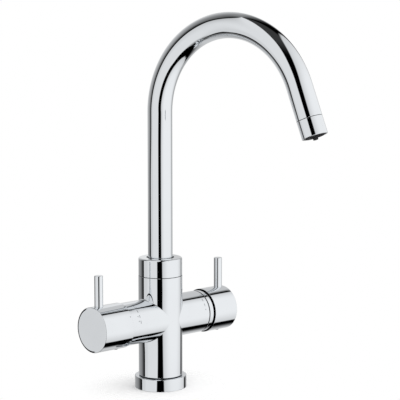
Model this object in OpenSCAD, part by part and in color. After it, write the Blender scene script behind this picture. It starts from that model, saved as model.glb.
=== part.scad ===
// Four-way kitchen mixer tap: a cross-shaped body with a swan-neck spout,
// a mixing handle on the right arm and a filtered-water selector on the left arm.
// Millimetres, +Z up, origin at the centre of the underside of the base.
// The arms lie along X and the user stands at -Y.

/* [Base] */
// Outer diameter of the base ring
base_d = 52.8; // [48:0.1:56]
// Height of the base ring
base_h = 12.4; // [9:0.2:16]
// Rounding of the base ring's top edge
base_edge_r = 0.8; // [0.3:0.1:1.4]
// Diameter of the body's foot inside the base ring
foot_d = 40; // [38:0.2:41]
// Height of the foot's face above the worktop
foot_recess = 2; // [1:0.5:3.5]
// Radial width of the rubber seal under the base ring
base_seal_w = 2.4; // [1.6:0.1:3]
// Height of the rubber seal under the base ring
base_seal_h = 1.6; // [1:0.1:2.4]

/* [Inlets] */
// Diameter of the inlet block under the column
block_d = 36; // [35.2:0.1:37.4]
// Height of the inlet block
block_h = 23; // [21:0.5:30]
// Distance of each hose inlet from the centre
inlet_offset = 12; // [11.6:0.1:12.8]
// Diameter of each hose inlet
inlet_d = 9; // [8:0.1:9.4]
// Threaded depth of each hose inlet
inlet_depth = 12; // [10:0.5:16]
// Height of the flat washer at the end of each inlet
inlet_seal_h = 1.5; // [1:0.1:2]
// Outer diameter of the flat washer at the end of each inlet
inlet_seal_d = 8.3; // [7.8:0.1:8.6]
// Diameter of the hole for the fixing stud
stud_hole_d = 6.8; // [5:0.1:8]
// Depth of the hole for the fixing stud
stud_hole_depth = 20; // [15:1:22]

/* [Body] */
// Diameter of the column
column_d = 44.7; // [43.6:0.1:47]
// Height of the column above the base ring
column_h = 103.2; // [100:0.2:120]
// Diameter of each arm
arm_d = 43; // [42.2:0.1:43.4]
// Height of the arms' axis above the worktop
arm_z = 71.1; // [64:0.1:73]
// Length of the mixer arm from the column's axis
mixer_arm_l = 49.8; // [48.5:0.1:60]
// Length of the filter arm from the column's axis
filter_arm_l = 53.8; // [52.5:0.1:62]
// Rounding of the arms' end edges
arm_edge_r = 0.5; // [0.2:0.1:0.9]
// Diameter of the threaded boss that carries the collar
boss_d = 38; // [36:0.2:39]
// Height of the threaded boss above the column
boss_h = 14.4; // [12:0.2:20]
// Diameter of the hot and cold waterways and of the filtered-water inlets
riser_d = 7; // [5:0.1:7.4]
// Diameter of the outlet waterways that lead to the spout
outlet_way_d = 6; // [4:0.1:6.2]
// Diameter of the level bores that lead from the risers to the valves
port_d = 5.6; // [4:0.1:5.8]

/* [Spout] */
// Outer diameter of the spout tube
tube_d = 25; // [23:0.1:25.4]
// Wall of the spout tube
tube_wall = 1.2; // [0.8:0.1:1.4]
// Height at which the spout starts to bend
bend_z = 280.6; // [220:0.2:330]
// Radius of the spout's bend on its centre line
bend_r = 87.3; // [70:0.1:110]
// Angle of the spout's bend in degrees
bend_sweep = 158.7; // [140:0.1:175]
// Straight end of the tube after the bend
tail_l = 33; // [26:0.1:60]
// Direction of the spout at rest, in degrees from the user towards the mixer arm
spout_heading = 8.8; // [-60:0.1:60]
// How far the spout turns to each side of the middle, in degrees
spout_swing = 110; // [60:1:150]

/* [Spout bearing] */
// Outer diameter of the turned sleeve on the tube's lower end
sleeve_d = 28.4; // [27.8:0.1:29]
// Height of the socket's floor above the arms' axis
socket_rise = 15.9; // [15:0.1:19]
// Length of tube inside the sleeve
tube_seat_l = 22.9; // [18:0.1:24]
// Bore of the sleeve below the tube
sleeve_bore_d = 21; // [20:0.1:22]
// Thickness of the thrust washer under the sleeve
slide_washer_h = 1; // [0.5:0.1:1.5]
// Thickness of the slide ring around the tube
slide_ring_h = 3.1; // [2:0.1:4]
// Outer diameter of the slide ring around the tube
slide_ring_d = 34; // [32:0.1:35]
// Diameter of the stop screw
stop_screw_d = 4; // [3:0.1:4.5]
// Depth of the stop slot in the sleeve
stop_slot_depth = 1.2; // [0.8:0.1:1.3]
// Depth of the stop screw's centre below the boss's top
stop_screw_drop = 9.5; // [8:0.1:10]
// Height of each ring seal on the sleeve
sleeve_ring_h = 2; // [1.5:0.1:2.4]
// Radial thickness of each ring seal on the sleeve
sleeve_ring_t = 1.9; // [1.2:0.1:2]
// Distance of the ring seals from each other and from the sleeve's end
sleeve_ring_pitch = 3; // [2:0.1:3.6]
// Length of the filtered-water nipple below the socket's floor
nipple_seat_l = 7; // [5:0.1:9]
// Length of the filtered-water nipple above the socket's floor
nipple_l = 13; // [10:0.1:18]
// Height of the filtered-water nipple's flange
nipple_flange_h = 1.5; // [1:0.1:2]
// Bore of the filtered-water nipple
nipple_bore_d = 3.6; // [2.4:0.1:4]

/* [Collar] */
// Outer diameter of the collar
collar_d = 44.4; // [43.4:0.1:46]
// Thickness of the collar's top plate
collar_top_h = 3.8; // [2.4:0.1:5]
// Diameter of the hole in the collar's top
collar_hole_d = 28.2; // [27:0.1:30]
// Rounding of the collar's top edge
collar_edge_r = 1.8; // [0.5:0.1:2.2]

/* [Outlet] */
// Length of the aerator housing below the tube
aerator_l = 17; // [16:0.1:26]
// Length of the housing's spigot inside the tube
aerator_spigot_l = 8; // [5:0.1:10]
// Wall of the aerator housing inside the tube
aerator_wall = 0.7; // [0.5:0.1:1]
// Height of the lip that holds the insert
aerator_lip_h = 1.5; // [1:0.1:2.5]
// Width of the lip that holds the insert
aerator_lip_w = 0.9; // [0.5:0.1:1.5]
// Height of the washer above the insert
aerator_seal_h = 1.4; // [1:0.1:2]
// Bore of the washer above the insert
aerator_seal_bore_d = 12.6; // [10:0.1:15]
// Distance of the insert below the tube's end
aerator_insert_drop = 2.2; // [1.6:0.1:4]
// Diameter of the ring of holes in the insert
insert_ring_d = 14; // [12.6:0.1:15]
// Diameter of each hole in the insert
insert_hole_d = 2.2; // [1:0.1:2.6]
// Diameter of the centre nozzle where it leaves the outlet
nozzle_tip_d = 5; // [4.2:0.1:6]
// Length of the centre nozzle outside the outlet
nozzle_tip_l = 3.2; // [1:0.1:6]
// Bore of the centre nozzle
nozzle_bore_d = 3.2; // [2:0.1:3.6]
// Outer diameter of the centre nozzle's shank inside the insert
nozzle_shank_d = 7.2; // [6.4:0.1:7.6]
// Distance of the nozzle's shank below the tube's end
nozzle_drop = 5.2; // [4:0.1:8]
// Length of the nozzle's barb inside the filtered-water tube
nozzle_barb_l = 6; // [4:0.1:8]
// Outer diameter of the filtered-water tube inside the spout
inner_tube_d = 8; // [7.6:0.1:8.6]
// Wall of the filtered-water tube inside the spout
inner_tube_wall = 1; // [0.8:0.1:1.2]

/* [Knobs and levers] */
// Diameter of both knobs
knob_d = 45.2; // [44.6:0.1:47]
// Length of the mixer knob
mixer_knob_l = 30.5; // [29:0.1:38]
// Length of the filter knob
filter_knob_l = 35.8; // [34:0.1:42]
// Rounding of the knobs' outer edges
knob_edge_r = 1.2; // [0.5:0.1:2]
// Wall of the filter knob's skirt
knob_wall = 3; // [2:0.1:4]
// Thickness of the filter knob's solid end
filter_knob_end_t = 17; // [15:0.1:20]
// Running gap between the filter knob and its arm
filter_knob_gap = 0.3; // [0.3:0.1:1]
// Diameter of each lever pin
lever_d = 8.5; // [7:0.1:9.5]
// Height of each lever's top above the arms' axis
lever_reach = 53.3; // [40:0.1:80]
// Distance of the mixer lever's axis from the knob's outer face
mixer_lever_inset = 6.7; // [6.2:0.1:9]
// Distance of the filter lever's axis from the knob's outer face
filter_lever_inset = 9.2; // [7:0.1:10]
// Depth of the lever's seat in the knob
lever_seat_depth = 3; // [1:0.1:5]
// Diameter of the lever's threaded stud
lever_stud_d = 6; // [4:0.1:6.5]
// Distance of the stud's end from the arms' axis
lever_stud_end = 9; // [7:0.1:11]
// Rounding of the lever's top edge
lever_edge_r = 0.6; // [0.2:0.1:1.2]
// Diameter of the set screws
set_screw_d = 5; // [4:0.1:5.2]
// Length of the set screws
set_screw_l = 4.8; // [3:0.1:5]
// How far the plugs stand out of the knobs
plug_proud = 0.8; // [0:0.1:1.2]
// Height of the plugs
plug_h = 3; // [1.5:0.1:3.4]
// Distance of the filter set screw from the inner end of the knob's hub
filter_screw_inset = 0.8; // [0.4:0.1:1.2]
// Distance of the mixer set screw from the inner end of the knob's solid part
mixer_screw_inset = 5; // [0.4:0.1:5.4]

/* [Trim ring] */
// Width of the trim ring beside the mixer knob
trim_w = 4.7; // [4.2:0.1:8]
// Diameter of the trim ring
trim_d = 44.6; // [43.6:0.1:45]
// Width of the gap between the trim ring and the mixer knob
mixer_knob_gap = 2.4; // [2:0.1:3.2]

/* [Mixing cartridge] */
// Diameter of the mixing cartridge
cartridge_d = 35; // [34:0.1:35.4]
// Wall of the cartridge's housing
cartridge_wall = 1.9; // [1.4:0.1:2.2]
// Wall of the cartridge's neck
cartridge_neck_wall = 2.15; // [1.6:0.05:2.4]
// Height of the cartridge's shoulder above the rotor's flange
cartridge_shoulder_h = 4.75; // [4:0.05:5]
// Length of the cartridge's neck above its shoulder
cartridge_neck_l = 8; // [7:0.1:8.4]
// Thickness of the seals round the ports
port_seal_h = 0.6; // [0.4:0.1:0.8]
// Width of the seals round the ports
port_seal_w = 1.2; // [0.8:0.1:1.4]
// Height of the inlet ports above the arm's axis
inlet_port_rise = 4; // [3.4:0.1:4.6]
// Depth of the outlet port below the arm's axis
outlet_port_drop = 8; // [7.4:0.1:9]
// Depth of the cartridge's seat in the arm
mixer_seat_depth = 25.3; // [25:0.1:26]
// Thickness of the port plate
port_plate_h = 4; // [3:0.1:4.4]
// Thickness of the fixed ceramic disc
fixed_disc_h = 3.4; // [2.5:0.1:3.8]
// Thickness of the moving ceramic disc
moving_disc_h = 3; // [2.2:0.1:3.4]
// Diameter of the moving ceramic disc
moving_disc_d = 25.6; // [25:0.1:25.8]
// Wall of the moving disc's mixing pocket
pocket_wall = 1.8; // [1.2:0.1:2.4]
// How far the shut pocket reaches above the arm's axis
pocket_rise = 0.8; // [0:0.1:1]
// Thickness of the disc driver's plate
driver_h = 2.5; // [2:0.1:2.9]
// Diameter of the disc driver's plate
driver_d = 23; // [20:0.1:25]
// Width of the disc driver's boss
driver_boss_w = 8; // [7.6:0.1:9]
// Length of the disc driver's boss
driver_boss_l = 12; // [9:0.1:13]
// Height of the disc driver's boss
driver_boss_h = 3.4; // [2.6:0.1:3.6]
// Diameter of the rotor where it turns in the housing
rotor_d = 26; // [24.5:0.1:26.4]
// Thickness of the rotor's flange
rotor_flange_h = 1.9; // [1.4:0.1:2.4]
// How far the rotor stands out of the cartridge's neck
rotor_proud = 0.5; // [0:0.1:1.5]
// Height of the tilt axis above the rotor's underside
pivot_rise = 8.75; // [8:0.05:9.5]
// Diameter of the stem
stem_d = 7.8; // [6.5:0.1:8]
// Diameter of the stem's ball end
ball_d = 5.2; // [4.4:0.1:5.4]
// Height of the ball's centre above the disc driver's plate
ball_rise = 1.85; // [1.6:0.05:2.2]
// Diameter of the stem's thin neck above the ball
stem_neck_d = 3.6; // [3:0.1:4]
// Length of stem inside the mixer knob's solid part
stem_grip_l = 10.4; // [7.4:0.1:10.6]
// Diameter of the tilt pin
tilt_pin_d = 3; // [2.4:0.1:3.4]
// Full tilt of the mixer handle in degrees
tilt_max = 20; // [10:1:22]
// Width of the flat rim round the mixer knob's hollow side
mixer_rim_w = 0.8; // [0.4:0.1:1.4]
// Clearance between the mixer knob and the dome
dome_gap = 1.6; // [1:0.1:2.2]
// Thickness of the dome
dome_wall = 2.2; // [1.2:0.1:3]
// Diameter of the dome's opening
dome_hole_d = 30.4; // [28:0.1:31]
// Outer diameter of the cartridge nut
mixer_nut_d = 38.7; // [38:0.1:38.9]
// How far the cartridge nut stands out of the arm
mixer_nut_proud = 2.7; // [2:0.1:3.2]
// Radial width of the dome's seat ring
dome_seat_w = 2.8; // [2:0.1:3.4]
// Height of the dome's seat ring inside the dome
dome_seat_h = 1.5; // [1:0.1:2.4]

/* [Filter valve] */
// Outer diameter of the filter valve's housing
filter_valve_d = 29.8; // [28.6:0.1:31]
// Wall of the filter valve's housing
filter_valve_wall = 2.5; // [2:0.1:2.8]
// Thickness of the seal under the filter valve
filter_seal_h = 1.25; // [1:0.05:1.5]
// Thickness of the filter valve's fixed disc
filter_disc_h = 3.5; // [3:0.1:4]
// Thickness of the filter valve's moving disc
filter_moving_h = 3; // [2.4:0.1:3.4]
// Wall of the moving disc beside its channel
filter_moving_wall = 1.2; // [0.8:0.1:2]
// Thickness of the filter valve's flange
filter_flange_h = 2.5; // [2:0.1:3]
// Depth of the filter valve's seat in the arm
filter_seat_depth = 28.75; // [28:0.05:30]
// Outer diameter of the filter valve's nut
filter_nut_d = 35.8; // [35:0.1:37]
// Depth of the nut's seat in the filter arm
filter_nut_depth = 7.8; // [7:0.1:8.4]
// How deep the nut's top lies inside the filter arm
filter_nut_sink = 0.8; // [0.4:0.1:1.4]
// Diameter of the filter valve's neck
filter_neck_d = 18; // [14:0.1:20]
// How far the filter valve's neck stands out of the arm
filter_neck_proud = 1.7; // [1:0.1:2.4]
// Distance of the knob's hub from the filter valve's neck
filter_hub_gap = 1.5; // [1:0.1:2]
// Wall of the filter knob's hub
filter_hub_wall = 5; // [3.4:0.1:6]
// Diameter of the spindle
spindle_d = 8; // [6.4:0.1:9]
// Diameter of the spindle's flange
spindle_flange_d = 22; // [18:0.1:24]
// Thickness of the spindle's flange
spindle_flange_h = 3; // [2:0.1:3.4]
// Radial thickness of the spindle's ring seal
spindle_ring_t = 1.1; // [0.8:0.1:1.4]
// Height of the spindle's ring seal
spindle_ring_h = 1.8; // [1.4:0.1:2.2]
// Distance of the spindle's ring seal from the nut's seat
spindle_ring_rise = 3; // [2.6:0.1:4]
// Length of spindle inside the knob
spindle_grip_l = 9.5; // [8:0.1:12]

/* [Fits] */
// Radial clearance of pieces that fit together or turn in each other
fit = 0.05; // [0.03:0.01:0.08]
// Clearance between pieces that move past each other
gap = 0.3; // [0.25:0.05:0.4]

/* [Hidden] */
$fn = 96;
bend_facets = 64;
bend_proud = 0.05;
bend_lap = 0.5;

chrome = [0.80, 0.81, 0.83];
brass = [0.72, 0.58, 0.30];
steel = [0.62, 0.63, 0.65];
rubber = [0.10, 0.10, 0.11];
black_plastic = [0.13, 0.13, 0.14];
white_plastic = [0.90, 0.90, 0.88];
ceramic = [0.93, 0.91, 0.86];

// Heights up the column
block_top_z = foot_recess + block_h;
column_top_z = base_h + column_h;
boss_top_z = column_top_z + boss_h;
socket_z = arm_z + socket_rise;
slide_ring_z = boss_top_z - slide_ring_h + fit;
slide_ring_top_z = slide_ring_z + slide_ring_h;
sleeve_z = socket_z + slide_washer_h + fit;
sleeve_top_z = slide_ring_z - 2 * fit;
tube_z = sleeve_top_z - tube_seat_l;
sleeve_groove_1_z = sleeve_z + sleeve_ring_pitch;
sleeve_groove_2_z = sleeve_groove_1_z + sleeve_ring_h + sleeve_ring_pitch;
collar_z = column_top_z + fit;
collar_plate_z = slide_ring_top_z + fit;
collar_top_z = collar_plate_z + collar_top_h;
stop_screw_z = boss_top_z - stop_screw_drop;

// Radii round the column's axis
tube_r = tube_d / 2;
tube_in_r = tube_r - tube_wall;
sleeve_r = sleeve_d / 2;
socket_r = sleeve_r + fit;
inner_tube_r = inner_tube_d / 2;
inner_bore_r = inner_tube_r - inner_tube_wall;
barb_r = inner_bore_r - fit;
nipple_bore_r = nipple_bore_d / 2;
nipple_seat_r = inner_tube_r;
nipple_flange_r = inner_tube_r + 1;
inlet_xy = inlet_offset * sqrt(0.5);
inlet_seal_r = inlet_seal_d / 2;
block_r = block_d / 2;
port_r = port_d / 2;
inlet_seal_z = foot_recess + inlet_depth + fit;
mixed_way_x = nipple_flange_r + gap + outlet_way_d / 2;
slide_washer_in_r = sleeve_r - sleeve_ring_t + gap;
slide_washer_out_r = sleeve_r - 2 * fit;
base_seal_mid_r = (foot_d + base_d) / 4;

// Ports, given as [height above the arm's axis, distance to each side]
mixer_inlet_port = [inlet_port_rise, inlet_xy];
mixer_outlet_port = [-outlet_port_drop, 0];
filter_inlet_port = [0, inlet_xy];
outlet_port_r = outlet_way_d / 2;

// Places along the mixer arm, measured from the column's axis
mixer_floor_w = mixer_arm_l - mixer_seat_depth;
plate_w = mixer_floor_w + port_seal_h;
fixed_disc_w = plate_w + port_plate_h + fit;
moving_disc_w = fixed_disc_w + fixed_disc_h + fit;
driver_w = moving_disc_w + moving_disc_h + fit;
rotor_w = driver_w + driver_h + 2 * fit;
neck_w = rotor_w + rotor_flange_h + 2 * fit;
pivot_w = rotor_w + pivot_rise;
shoulder_w = neck_w + cartridge_shoulder_h;
housing_top_w = shoulder_w + cartridge_neck_l;
rotor_top_w = housing_top_w + rotor_proud;
mixer_nut_w = shoulder_w + fit;
mixer_nut_top_w = mixer_arm_l + mixer_nut_proud;
trim_end_w = mixer_arm_l + trim_w;
mixer_knob_w = trim_end_w + mixer_knob_gap;
mixer_knob_end_w = mixer_knob_w + mixer_knob_l;
mixer_lever_w = mixer_knob_end_w - mixer_lever_inset;

// Parts of the cartridge
cartridge_r = cartridge_d / 2;
cartridge_in_r = cartridge_r - cartridge_wall;
rotor_r = rotor_d / 2;
neck_out_r = rotor_r + fit + cartridge_neck_wall;
fixed_disc_r = cartridge_in_r - 2 * fit;
moving_disc_r = moving_disc_d / 2;
ball_r = ball_d / 2;
ball_w = driver_w + driver_h + ball_rise;
ball_arm = pivot_w - ball_w;
disc_travel = ball_arm * sin(tilt_max);
rotor_slot_w = driver_boss_w + 0.5;
rotor_slot_l = driver_boss_l + 2 * (disc_travel + gap);
knob_rim_r = knob_d / 2;
knob_hollow_r = sqrt(pow(knob_rim_r - mixer_rim_w, 2) + pow(mixer_knob_w - pivot_w, 2));
dome_r = knob_hollow_r - dome_gap;
dome_seat_r = mixer_nut_d / 2;
knob_hollow_end_w = pivot_w + knob_hollow_r;
stem_end_w = knob_hollow_end_w + stem_grip_l;
mixer_screw_w = knob_hollow_end_w + set_screw_d / 2 + mixer_screw_inset;

// Places along the filter arm, measured from the column's axis
filter_floor_w = filter_arm_l - filter_seat_depth;
filter_disc_w = filter_floor_w + filter_seal_h + fit;
filter_moving_w = filter_disc_w + filter_disc_h + fit;
spindle_w = filter_moving_w + filter_moving_h + fit;
filter_chamber_end_w = spindle_w + spindle_flange_h + gap;
filter_nut_seat_w = filter_arm_l - filter_nut_depth;
filter_nut_w = filter_nut_seat_w + filter_flange_h + fit;
filter_nut_top_w = filter_arm_l - filter_nut_sink;
filter_neck_end_w = filter_arm_l + filter_neck_proud;
filter_knob_w = filter_arm_l + filter_knob_gap;
filter_knob_end_w = filter_knob_w + filter_knob_l;
filter_knob_floor_w = filter_knob_end_w - filter_knob_end_t;
filter_hub_w = filter_neck_end_w + filter_hub_gap;
filter_lever_w = filter_knob_end_w - filter_lever_inset;
spindle_end_w = filter_hub_w + spindle_grip_l;
filter_screw_w = filter_hub_w + set_screw_d / 2 + filter_screw_inset;
filter_chamber_r = filter_valve_d / 2 - filter_valve_wall;
filter_disc_r = filter_chamber_r - 2 * fit;
filter_moving_r = filter_disc_r - gap;
spindle_r = spindle_d / 2;
spindle_ring_w = filter_nut_seat_w + spindle_ring_rise;
filter_hub_r = spindle_r + filter_hub_wall;

// Outlet, measured along the straight end of the tube from the end of the bend
tail_rise = 180 - bend_sweep;
outlet_end_t = tail_l + aerator_l;
spigot_t = tail_l - aerator_spigot_l;
spigot_r = tube_in_r - fit;
aerator_bore_r = spigot_r - aerator_wall;
lip_r = aerator_bore_r - aerator_lip_w;
insert_end_t = outlet_end_t - aerator_lip_h - fit;
insert_t = tail_l + aerator_insert_drop;
aerator_seal_t = insert_t - aerator_seal_h - fit;
nozzle_shank_r = nozzle_shank_d / 2;
nozzle_shank_t = tail_l + nozzle_drop;
nozzle_t = nozzle_shank_t - nozzle_barb_l;
insert_hole_count = 12;

// Knob fittings
lever_r = lever_d / 2;
lever_seat_r = knob_rim_r - lever_seat_depth;
set_screw_r = set_screw_d / 2;
plug_top_r = knob_rim_r + plug_proud;

// Rectangle in the half plane that is turned round an axis
module band(r_in, r_out, low, high) {
    translate([r_in, low]) square([r_out - r_in, high - low]);
}

// What a rounded outer edge takes off a turned outline, with the corner upwards
module edge_cut(r_corner, high, r_edge) {
    difference() {
        translate([r_corner - r_edge, high - r_edge]) square([r_edge + 1, r_edge + 1]);
        translate([r_corner - r_edge, high - r_edge]) circle(r = r_edge);
    }
}

// The same with the corner downwards
module edge_cut_low(r_corner, low, r_edge) {
    difference() {
        translate([r_corner - r_edge, low - 1]) square([r_edge + 1, r_edge + 1]);
        translate([r_corner - r_edge, low + r_edge]) circle(r = r_edge);
    }
}

module turned_ring(r_in, r_out, low, high) {
    rotate_extrude() band(r_in, r_out, low, high);
}

// Frame of an arm: +X is up, +Z runs outwards along the arm
module on_mixer_arm() {
    translate([0, 0, arm_z]) rotate([0, 90, 0]) rotate([0, 0, 180]) children();
}

module on_filter_arm() {
    translate([0, 0, arm_z]) rotate([0, -90, 0]) children();
}

// Frame of the spout: +X is the direction it points in
module in_spout_frame() {
    rotate([0, 0, spout_heading - 90]) children();
}

// Frame of the tube's straight end: +Z runs towards the outlet
module at_tail() {
    in_spout_frame()
        translate([bend_r * (1 + cos(tail_rise)), 0, bend_z + bend_r * sin(tail_rise)])
            rotate([0, bend_sweep, 0]) children();
}

// Rod that follows the spout from one height to one place on the straight end.
// The bend stands a hair proud of the straight runs, which end inside it.
module bent_rod(r, low_z, end_t) {
    in_spout_frame() {
        translate([0, 0, low_z]) cylinder(r = r, h = bend_z + bend_lap - low_z);
        translate([bend_r, 0, bend_z])
            rotate([90, 0, 0])
                rotate([0, 0, tail_rise])
                    rotate_extrude(angle = bend_sweep)
                        translate([bend_r, 0]) circle(r = r + bend_proud);
    }
    at_tail() translate([0, 0, -bend_lap]) cylinder(r = r, h = end_t + bend_lap);
}

module bent_tube(r_out, r_in, low_z, end_t) {
    $fn = bend_facets;
    difference() {
        bent_rod(r_out, low_z, end_t);
        bent_rod(r_in, low_z - 1, end_t + 1);
    }
}

// Body

module body_outside() {
    translate([0, 0, foot_recess]) cylinder(r = foot_d / 2, h = base_h - foot_recess + 1);
    translate([0, 0, base_h]) cylinder(r = column_d / 2, h = column_h);
    translate([0, 0, column_top_z - 1]) cylinder(r = boss_d / 2, h = boss_h + 1);
    on_mixer_arm() arm_outside(mixer_arm_l);
    on_filter_arm() arm_outside(filter_arm_l);
}

module arm_outside(length) {
    rotate_extrude()
        difference() {
            band(0, arm_d / 2, 0, length);
            edge_cut(arm_d / 2, length, arm_edge_r);
        }
}

module mixer_cavity() {
    on_mixer_arm() {
        translate([0, 0, mixer_floor_w])
            cylinder(r = cartridge_r + 2 * fit, h = mixer_seat_depth + 1);
        translate([0, 0, shoulder_w - 0.4])
            cylinder(r = mixer_nut_d / 2 + 2 * fit, h = mixer_arm_l - shoulder_w + 2);
    }
}

module filter_cavity() {
    on_filter_arm() {
        translate([0, 0, filter_floor_w])
            cylinder(r = filter_valve_d / 2 + 2 * fit, h = filter_seat_depth + 1);
        translate([0, 0, filter_nut_seat_w])
            cylinder(r = filter_nut_d / 2 + 2 * fit, h = filter_nut_depth + 1);
    }
}

module spout_socket() {
    translate([0, 0, socket_z]) cylinder(r = socket_r, h = boss_top_z - socket_z + 1);
    translate([0, 0, slide_ring_z - fit]) cylinder(r = slide_ring_d / 2 + fit, h = slide_ring_h + 1);
    translate([0, 0, stop_screw_z])
        rotate([-90, 0, 0]) cylinder(r = stop_screw_d / 2 + fit, h = boss_d);
}

// Upright bore above the inlet block, and a level bore out to the cavity of the arm
module waterway(x, y, turn_z, cavity_x) {
    translate([x, y, block_top_z - 1]) cylinder(r = riser_d / 2, h = turn_z - block_top_z + 1);
    translate([x, y, turn_z])
        rotate([0, cavity_x > 0 ? 90 : -90, 0]) cylinder(r = port_r, h = abs(cavity_x - x) + 0.5);
}

module waterways() {
    for (side = [-1, 1]) {
        waterway(inlet_xy, side * inlet_xy, arm_z + mixer_inlet_port[0], mixer_floor_w);
        waterway(-inlet_xy, side * inlet_xy, arm_z + filter_inlet_port[0], -filter_floor_w);
    }
    translate([0, 0, foot_recess - 1]) cylinder(r = block_r + fit, h = block_h + 1);
    translate([0, 0, arm_z]) cylinder(r = outlet_way_d / 2, h = socket_rise + 1);
    translate([0, 0, arm_z]) rotate([0, -90, 0]) cylinder(r = outlet_way_d / 2, h = filter_floor_w + 0.5);
    translate([0, 0, socket_z - nipple_seat_l]) cylinder(r = nipple_seat_r, h = nipple_seat_l + 1);
    translate([mixed_way_x, 0, arm_z + mixer_outlet_port[0]])
        cylinder(r = outlet_way_d / 2, h = socket_rise - mixer_outlet_port[0] + 1);
    translate([mixed_way_x, 0, arm_z + mixer_outlet_port[0]])
        rotate([0, 90, 0]) cylinder(r = outlet_way_d / 2, h = mixer_floor_w - mixed_way_x + 0.5);
}

module body_casting() {
    color(chrome)
        difference() {
            body_outside();
            mixer_cavity();
            filter_cavity();
            spout_socket();
            waterways();
        }
}

module base_ring() {
    color(chrome)
        rotate_extrude()
            difference() {
                band(foot_d / 2 + fit, base_d / 2, 0, base_h);
                edge_cut(base_d / 2, base_h, base_edge_r);
                band(base_seal_mid_r - base_seal_w / 2 - fit, base_seal_mid_r + base_seal_w / 2 + fit, -1, base_seal_h);
            }
}

module base_seal() {
    color(rubber)
        turned_ring(base_seal_mid_r - base_seal_w / 2, base_seal_mid_r + base_seal_w / 2, 0, base_seal_h);
}

// Turned block that holds the threads for the hoses and the fixing stud
module inlet_block() {
    color(brass)
        difference() {
            translate([0, 0, foot_recess]) cylinder(r = block_r, h = block_h - fit);
            translate([0, 0, foot_recess - 1]) cylinder(r = stud_hole_d / 2, h = stud_hole_depth + 1);
            for (x = [-inlet_xy, inlet_xy], y = [-inlet_xy, inlet_xy])
                translate([x, y, 0]) {
                    translate([0, 0, foot_recess - 1]) cylinder(r = inlet_d / 2, h = inlet_depth + 1);
                    translate([0, 0, foot_recess + inlet_depth - fit])
                        cylinder(r = inlet_seal_r + fit, h = inlet_seal_h + 2 * fit);
                    translate([0, 0, foot_recess]) cylinder(r = riser_d / 2, h = block_h + 1);
                }
        }
}

module inlet_seals() {
    color(rubber)
        for (x = [-inlet_xy, inlet_xy], y = [-inlet_xy, inlet_xy])
            translate([x, y, inlet_seal_z]) turned_ring(inlet_seal_r / 2, inlet_seal_r, 0, inlet_seal_h);
}

// Spout bearing and collar

module spout_collar() {
    color(chrome)
        rotate_extrude()
            difference() {
                band(boss_d / 2 + 2 * fit, collar_d / 2, collar_z, collar_top_z);
                edge_cut(collar_d / 2, collar_top_z, collar_edge_r);
            }
    color(chrome) turned_ring(collar_hole_d / 2, boss_d / 2 + 3 * fit, collar_plate_z, collar_top_z);
}

module spout_slide_ring() {
    color(black_plastic) turned_ring(tube_r + 2 * fit, slide_ring_d / 2, slide_ring_z, slide_ring_top_z);
}

module spout_slide_washer() {
    color(white_plastic)
        turned_ring(slide_washer_in_r, slide_washer_out_r, socket_z, socket_z + slide_washer_h);
}

module spout_stop_screw() {
    color(steel)
        translate([0, 0, stop_screw_z])
            rotate([-90, 0, 0])
                translate([0, 0, sleeve_r - stop_slot_depth + gap])
                    cylinder(r = stop_screw_d / 2, h = boss_d / 2 - sleeve_r + stop_slot_depth - gap - fit);
}

module filter_nipple() {
    color(brass)
        rotate_extrude() {
            band(nipple_bore_r, nipple_seat_r - fit, socket_z - nipple_seat_l + fit, socket_z + nipple_flange_h);
            band(nipple_bore_r, nipple_flange_r, socket_z, socket_z + nipple_flange_h);
            band(nipple_bore_r, barb_r, socket_z, socket_z + nipple_l);
        }
}

module spout_tube() {
    color(chrome) bent_tube(tube_r, tube_in_r, tube_z, tail_l);
}

module sleeve_groove(low) {
    band(sleeve_r - sleeve_ring_t, sleeve_r + 1, low, low + sleeve_ring_h + 2 * fit);
}

module spout_foot() {
    color(brass)
        in_spout_frame()
            difference() {
                rotate_extrude()
                    difference() {
                        band(sleeve_bore_d / 2, sleeve_r, sleeve_z, sleeve_top_z);
                        band(0, tube_r + fit, tube_z - fit, sleeve_top_z + 1);
                        sleeve_groove(sleeve_groove_1_z);
                        sleeve_groove(sleeve_groove_2_z);
                    }
                stop_slot();
            }
}

// Slot that the stop screw runs in: its middle lies opposite the spout's direction
module stop_slot() {
    half_angle = spout_swing + asin((stop_screw_d / 2 + gap) / (sleeve_r - stop_slot_depth));
    half_height = stop_screw_d / 2 + gap;
    rotate([0, 0, 180 - half_angle])
        rotate_extrude(angle = 2 * half_angle)
            band(sleeve_r - stop_slot_depth, sleeve_r + 1, stop_screw_z - half_height, stop_screw_z + half_height);
}

module spout_o_rings() {
    color(rubber)
        for (low = [sleeve_groove_1_z, sleeve_groove_2_z])
            turned_ring(sleeve_r - sleeve_ring_t + 0.02, sleeve_r + 0.02, low + fit, low + fit + sleeve_ring_h);
}

module filter_water_tube() {
    color(white_plastic)
        bent_tube(inner_tube_r, inner_bore_r, socket_z + nipple_flange_h + gap, nozzle_shank_t - fit);
}

// Outlet

module aerator_housing() {
    color(chrome)
        at_tail()
            rotate_extrude()
                difference() {
                    union() {
                        band(lip_r, tube_r, tail_l + fit, outlet_end_t);
                        band(aerator_bore_r, spigot_r, spigot_t, tail_l + 1);
                    }
                    band(0, aerator_bore_r, spigot_t - 1, outlet_end_t - aerator_lip_h);
                    edge_cut(tube_r, outlet_end_t, 0.4);
                }
}

module aerator_insert() {
    color(black_plastic)
        at_tail()
            difference() {
                rotate_extrude()
                    difference() {
                        band(nozzle_shank_r + fit, aerator_bore_r - fit, insert_t, insert_end_t);
                        band(0, inner_tube_r + fit, insert_t - 1, nozzle_shank_t);
                    }
                for (i = [0 : insert_hole_count - 1])
                    rotate([0, 0, i * 360 / insert_hole_count])
                        translate([insert_ring_d / 2, 0, insert_t - 1])
                            cylinder(d = insert_hole_d, h = insert_end_t - insert_t + 2);
            }
}

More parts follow.
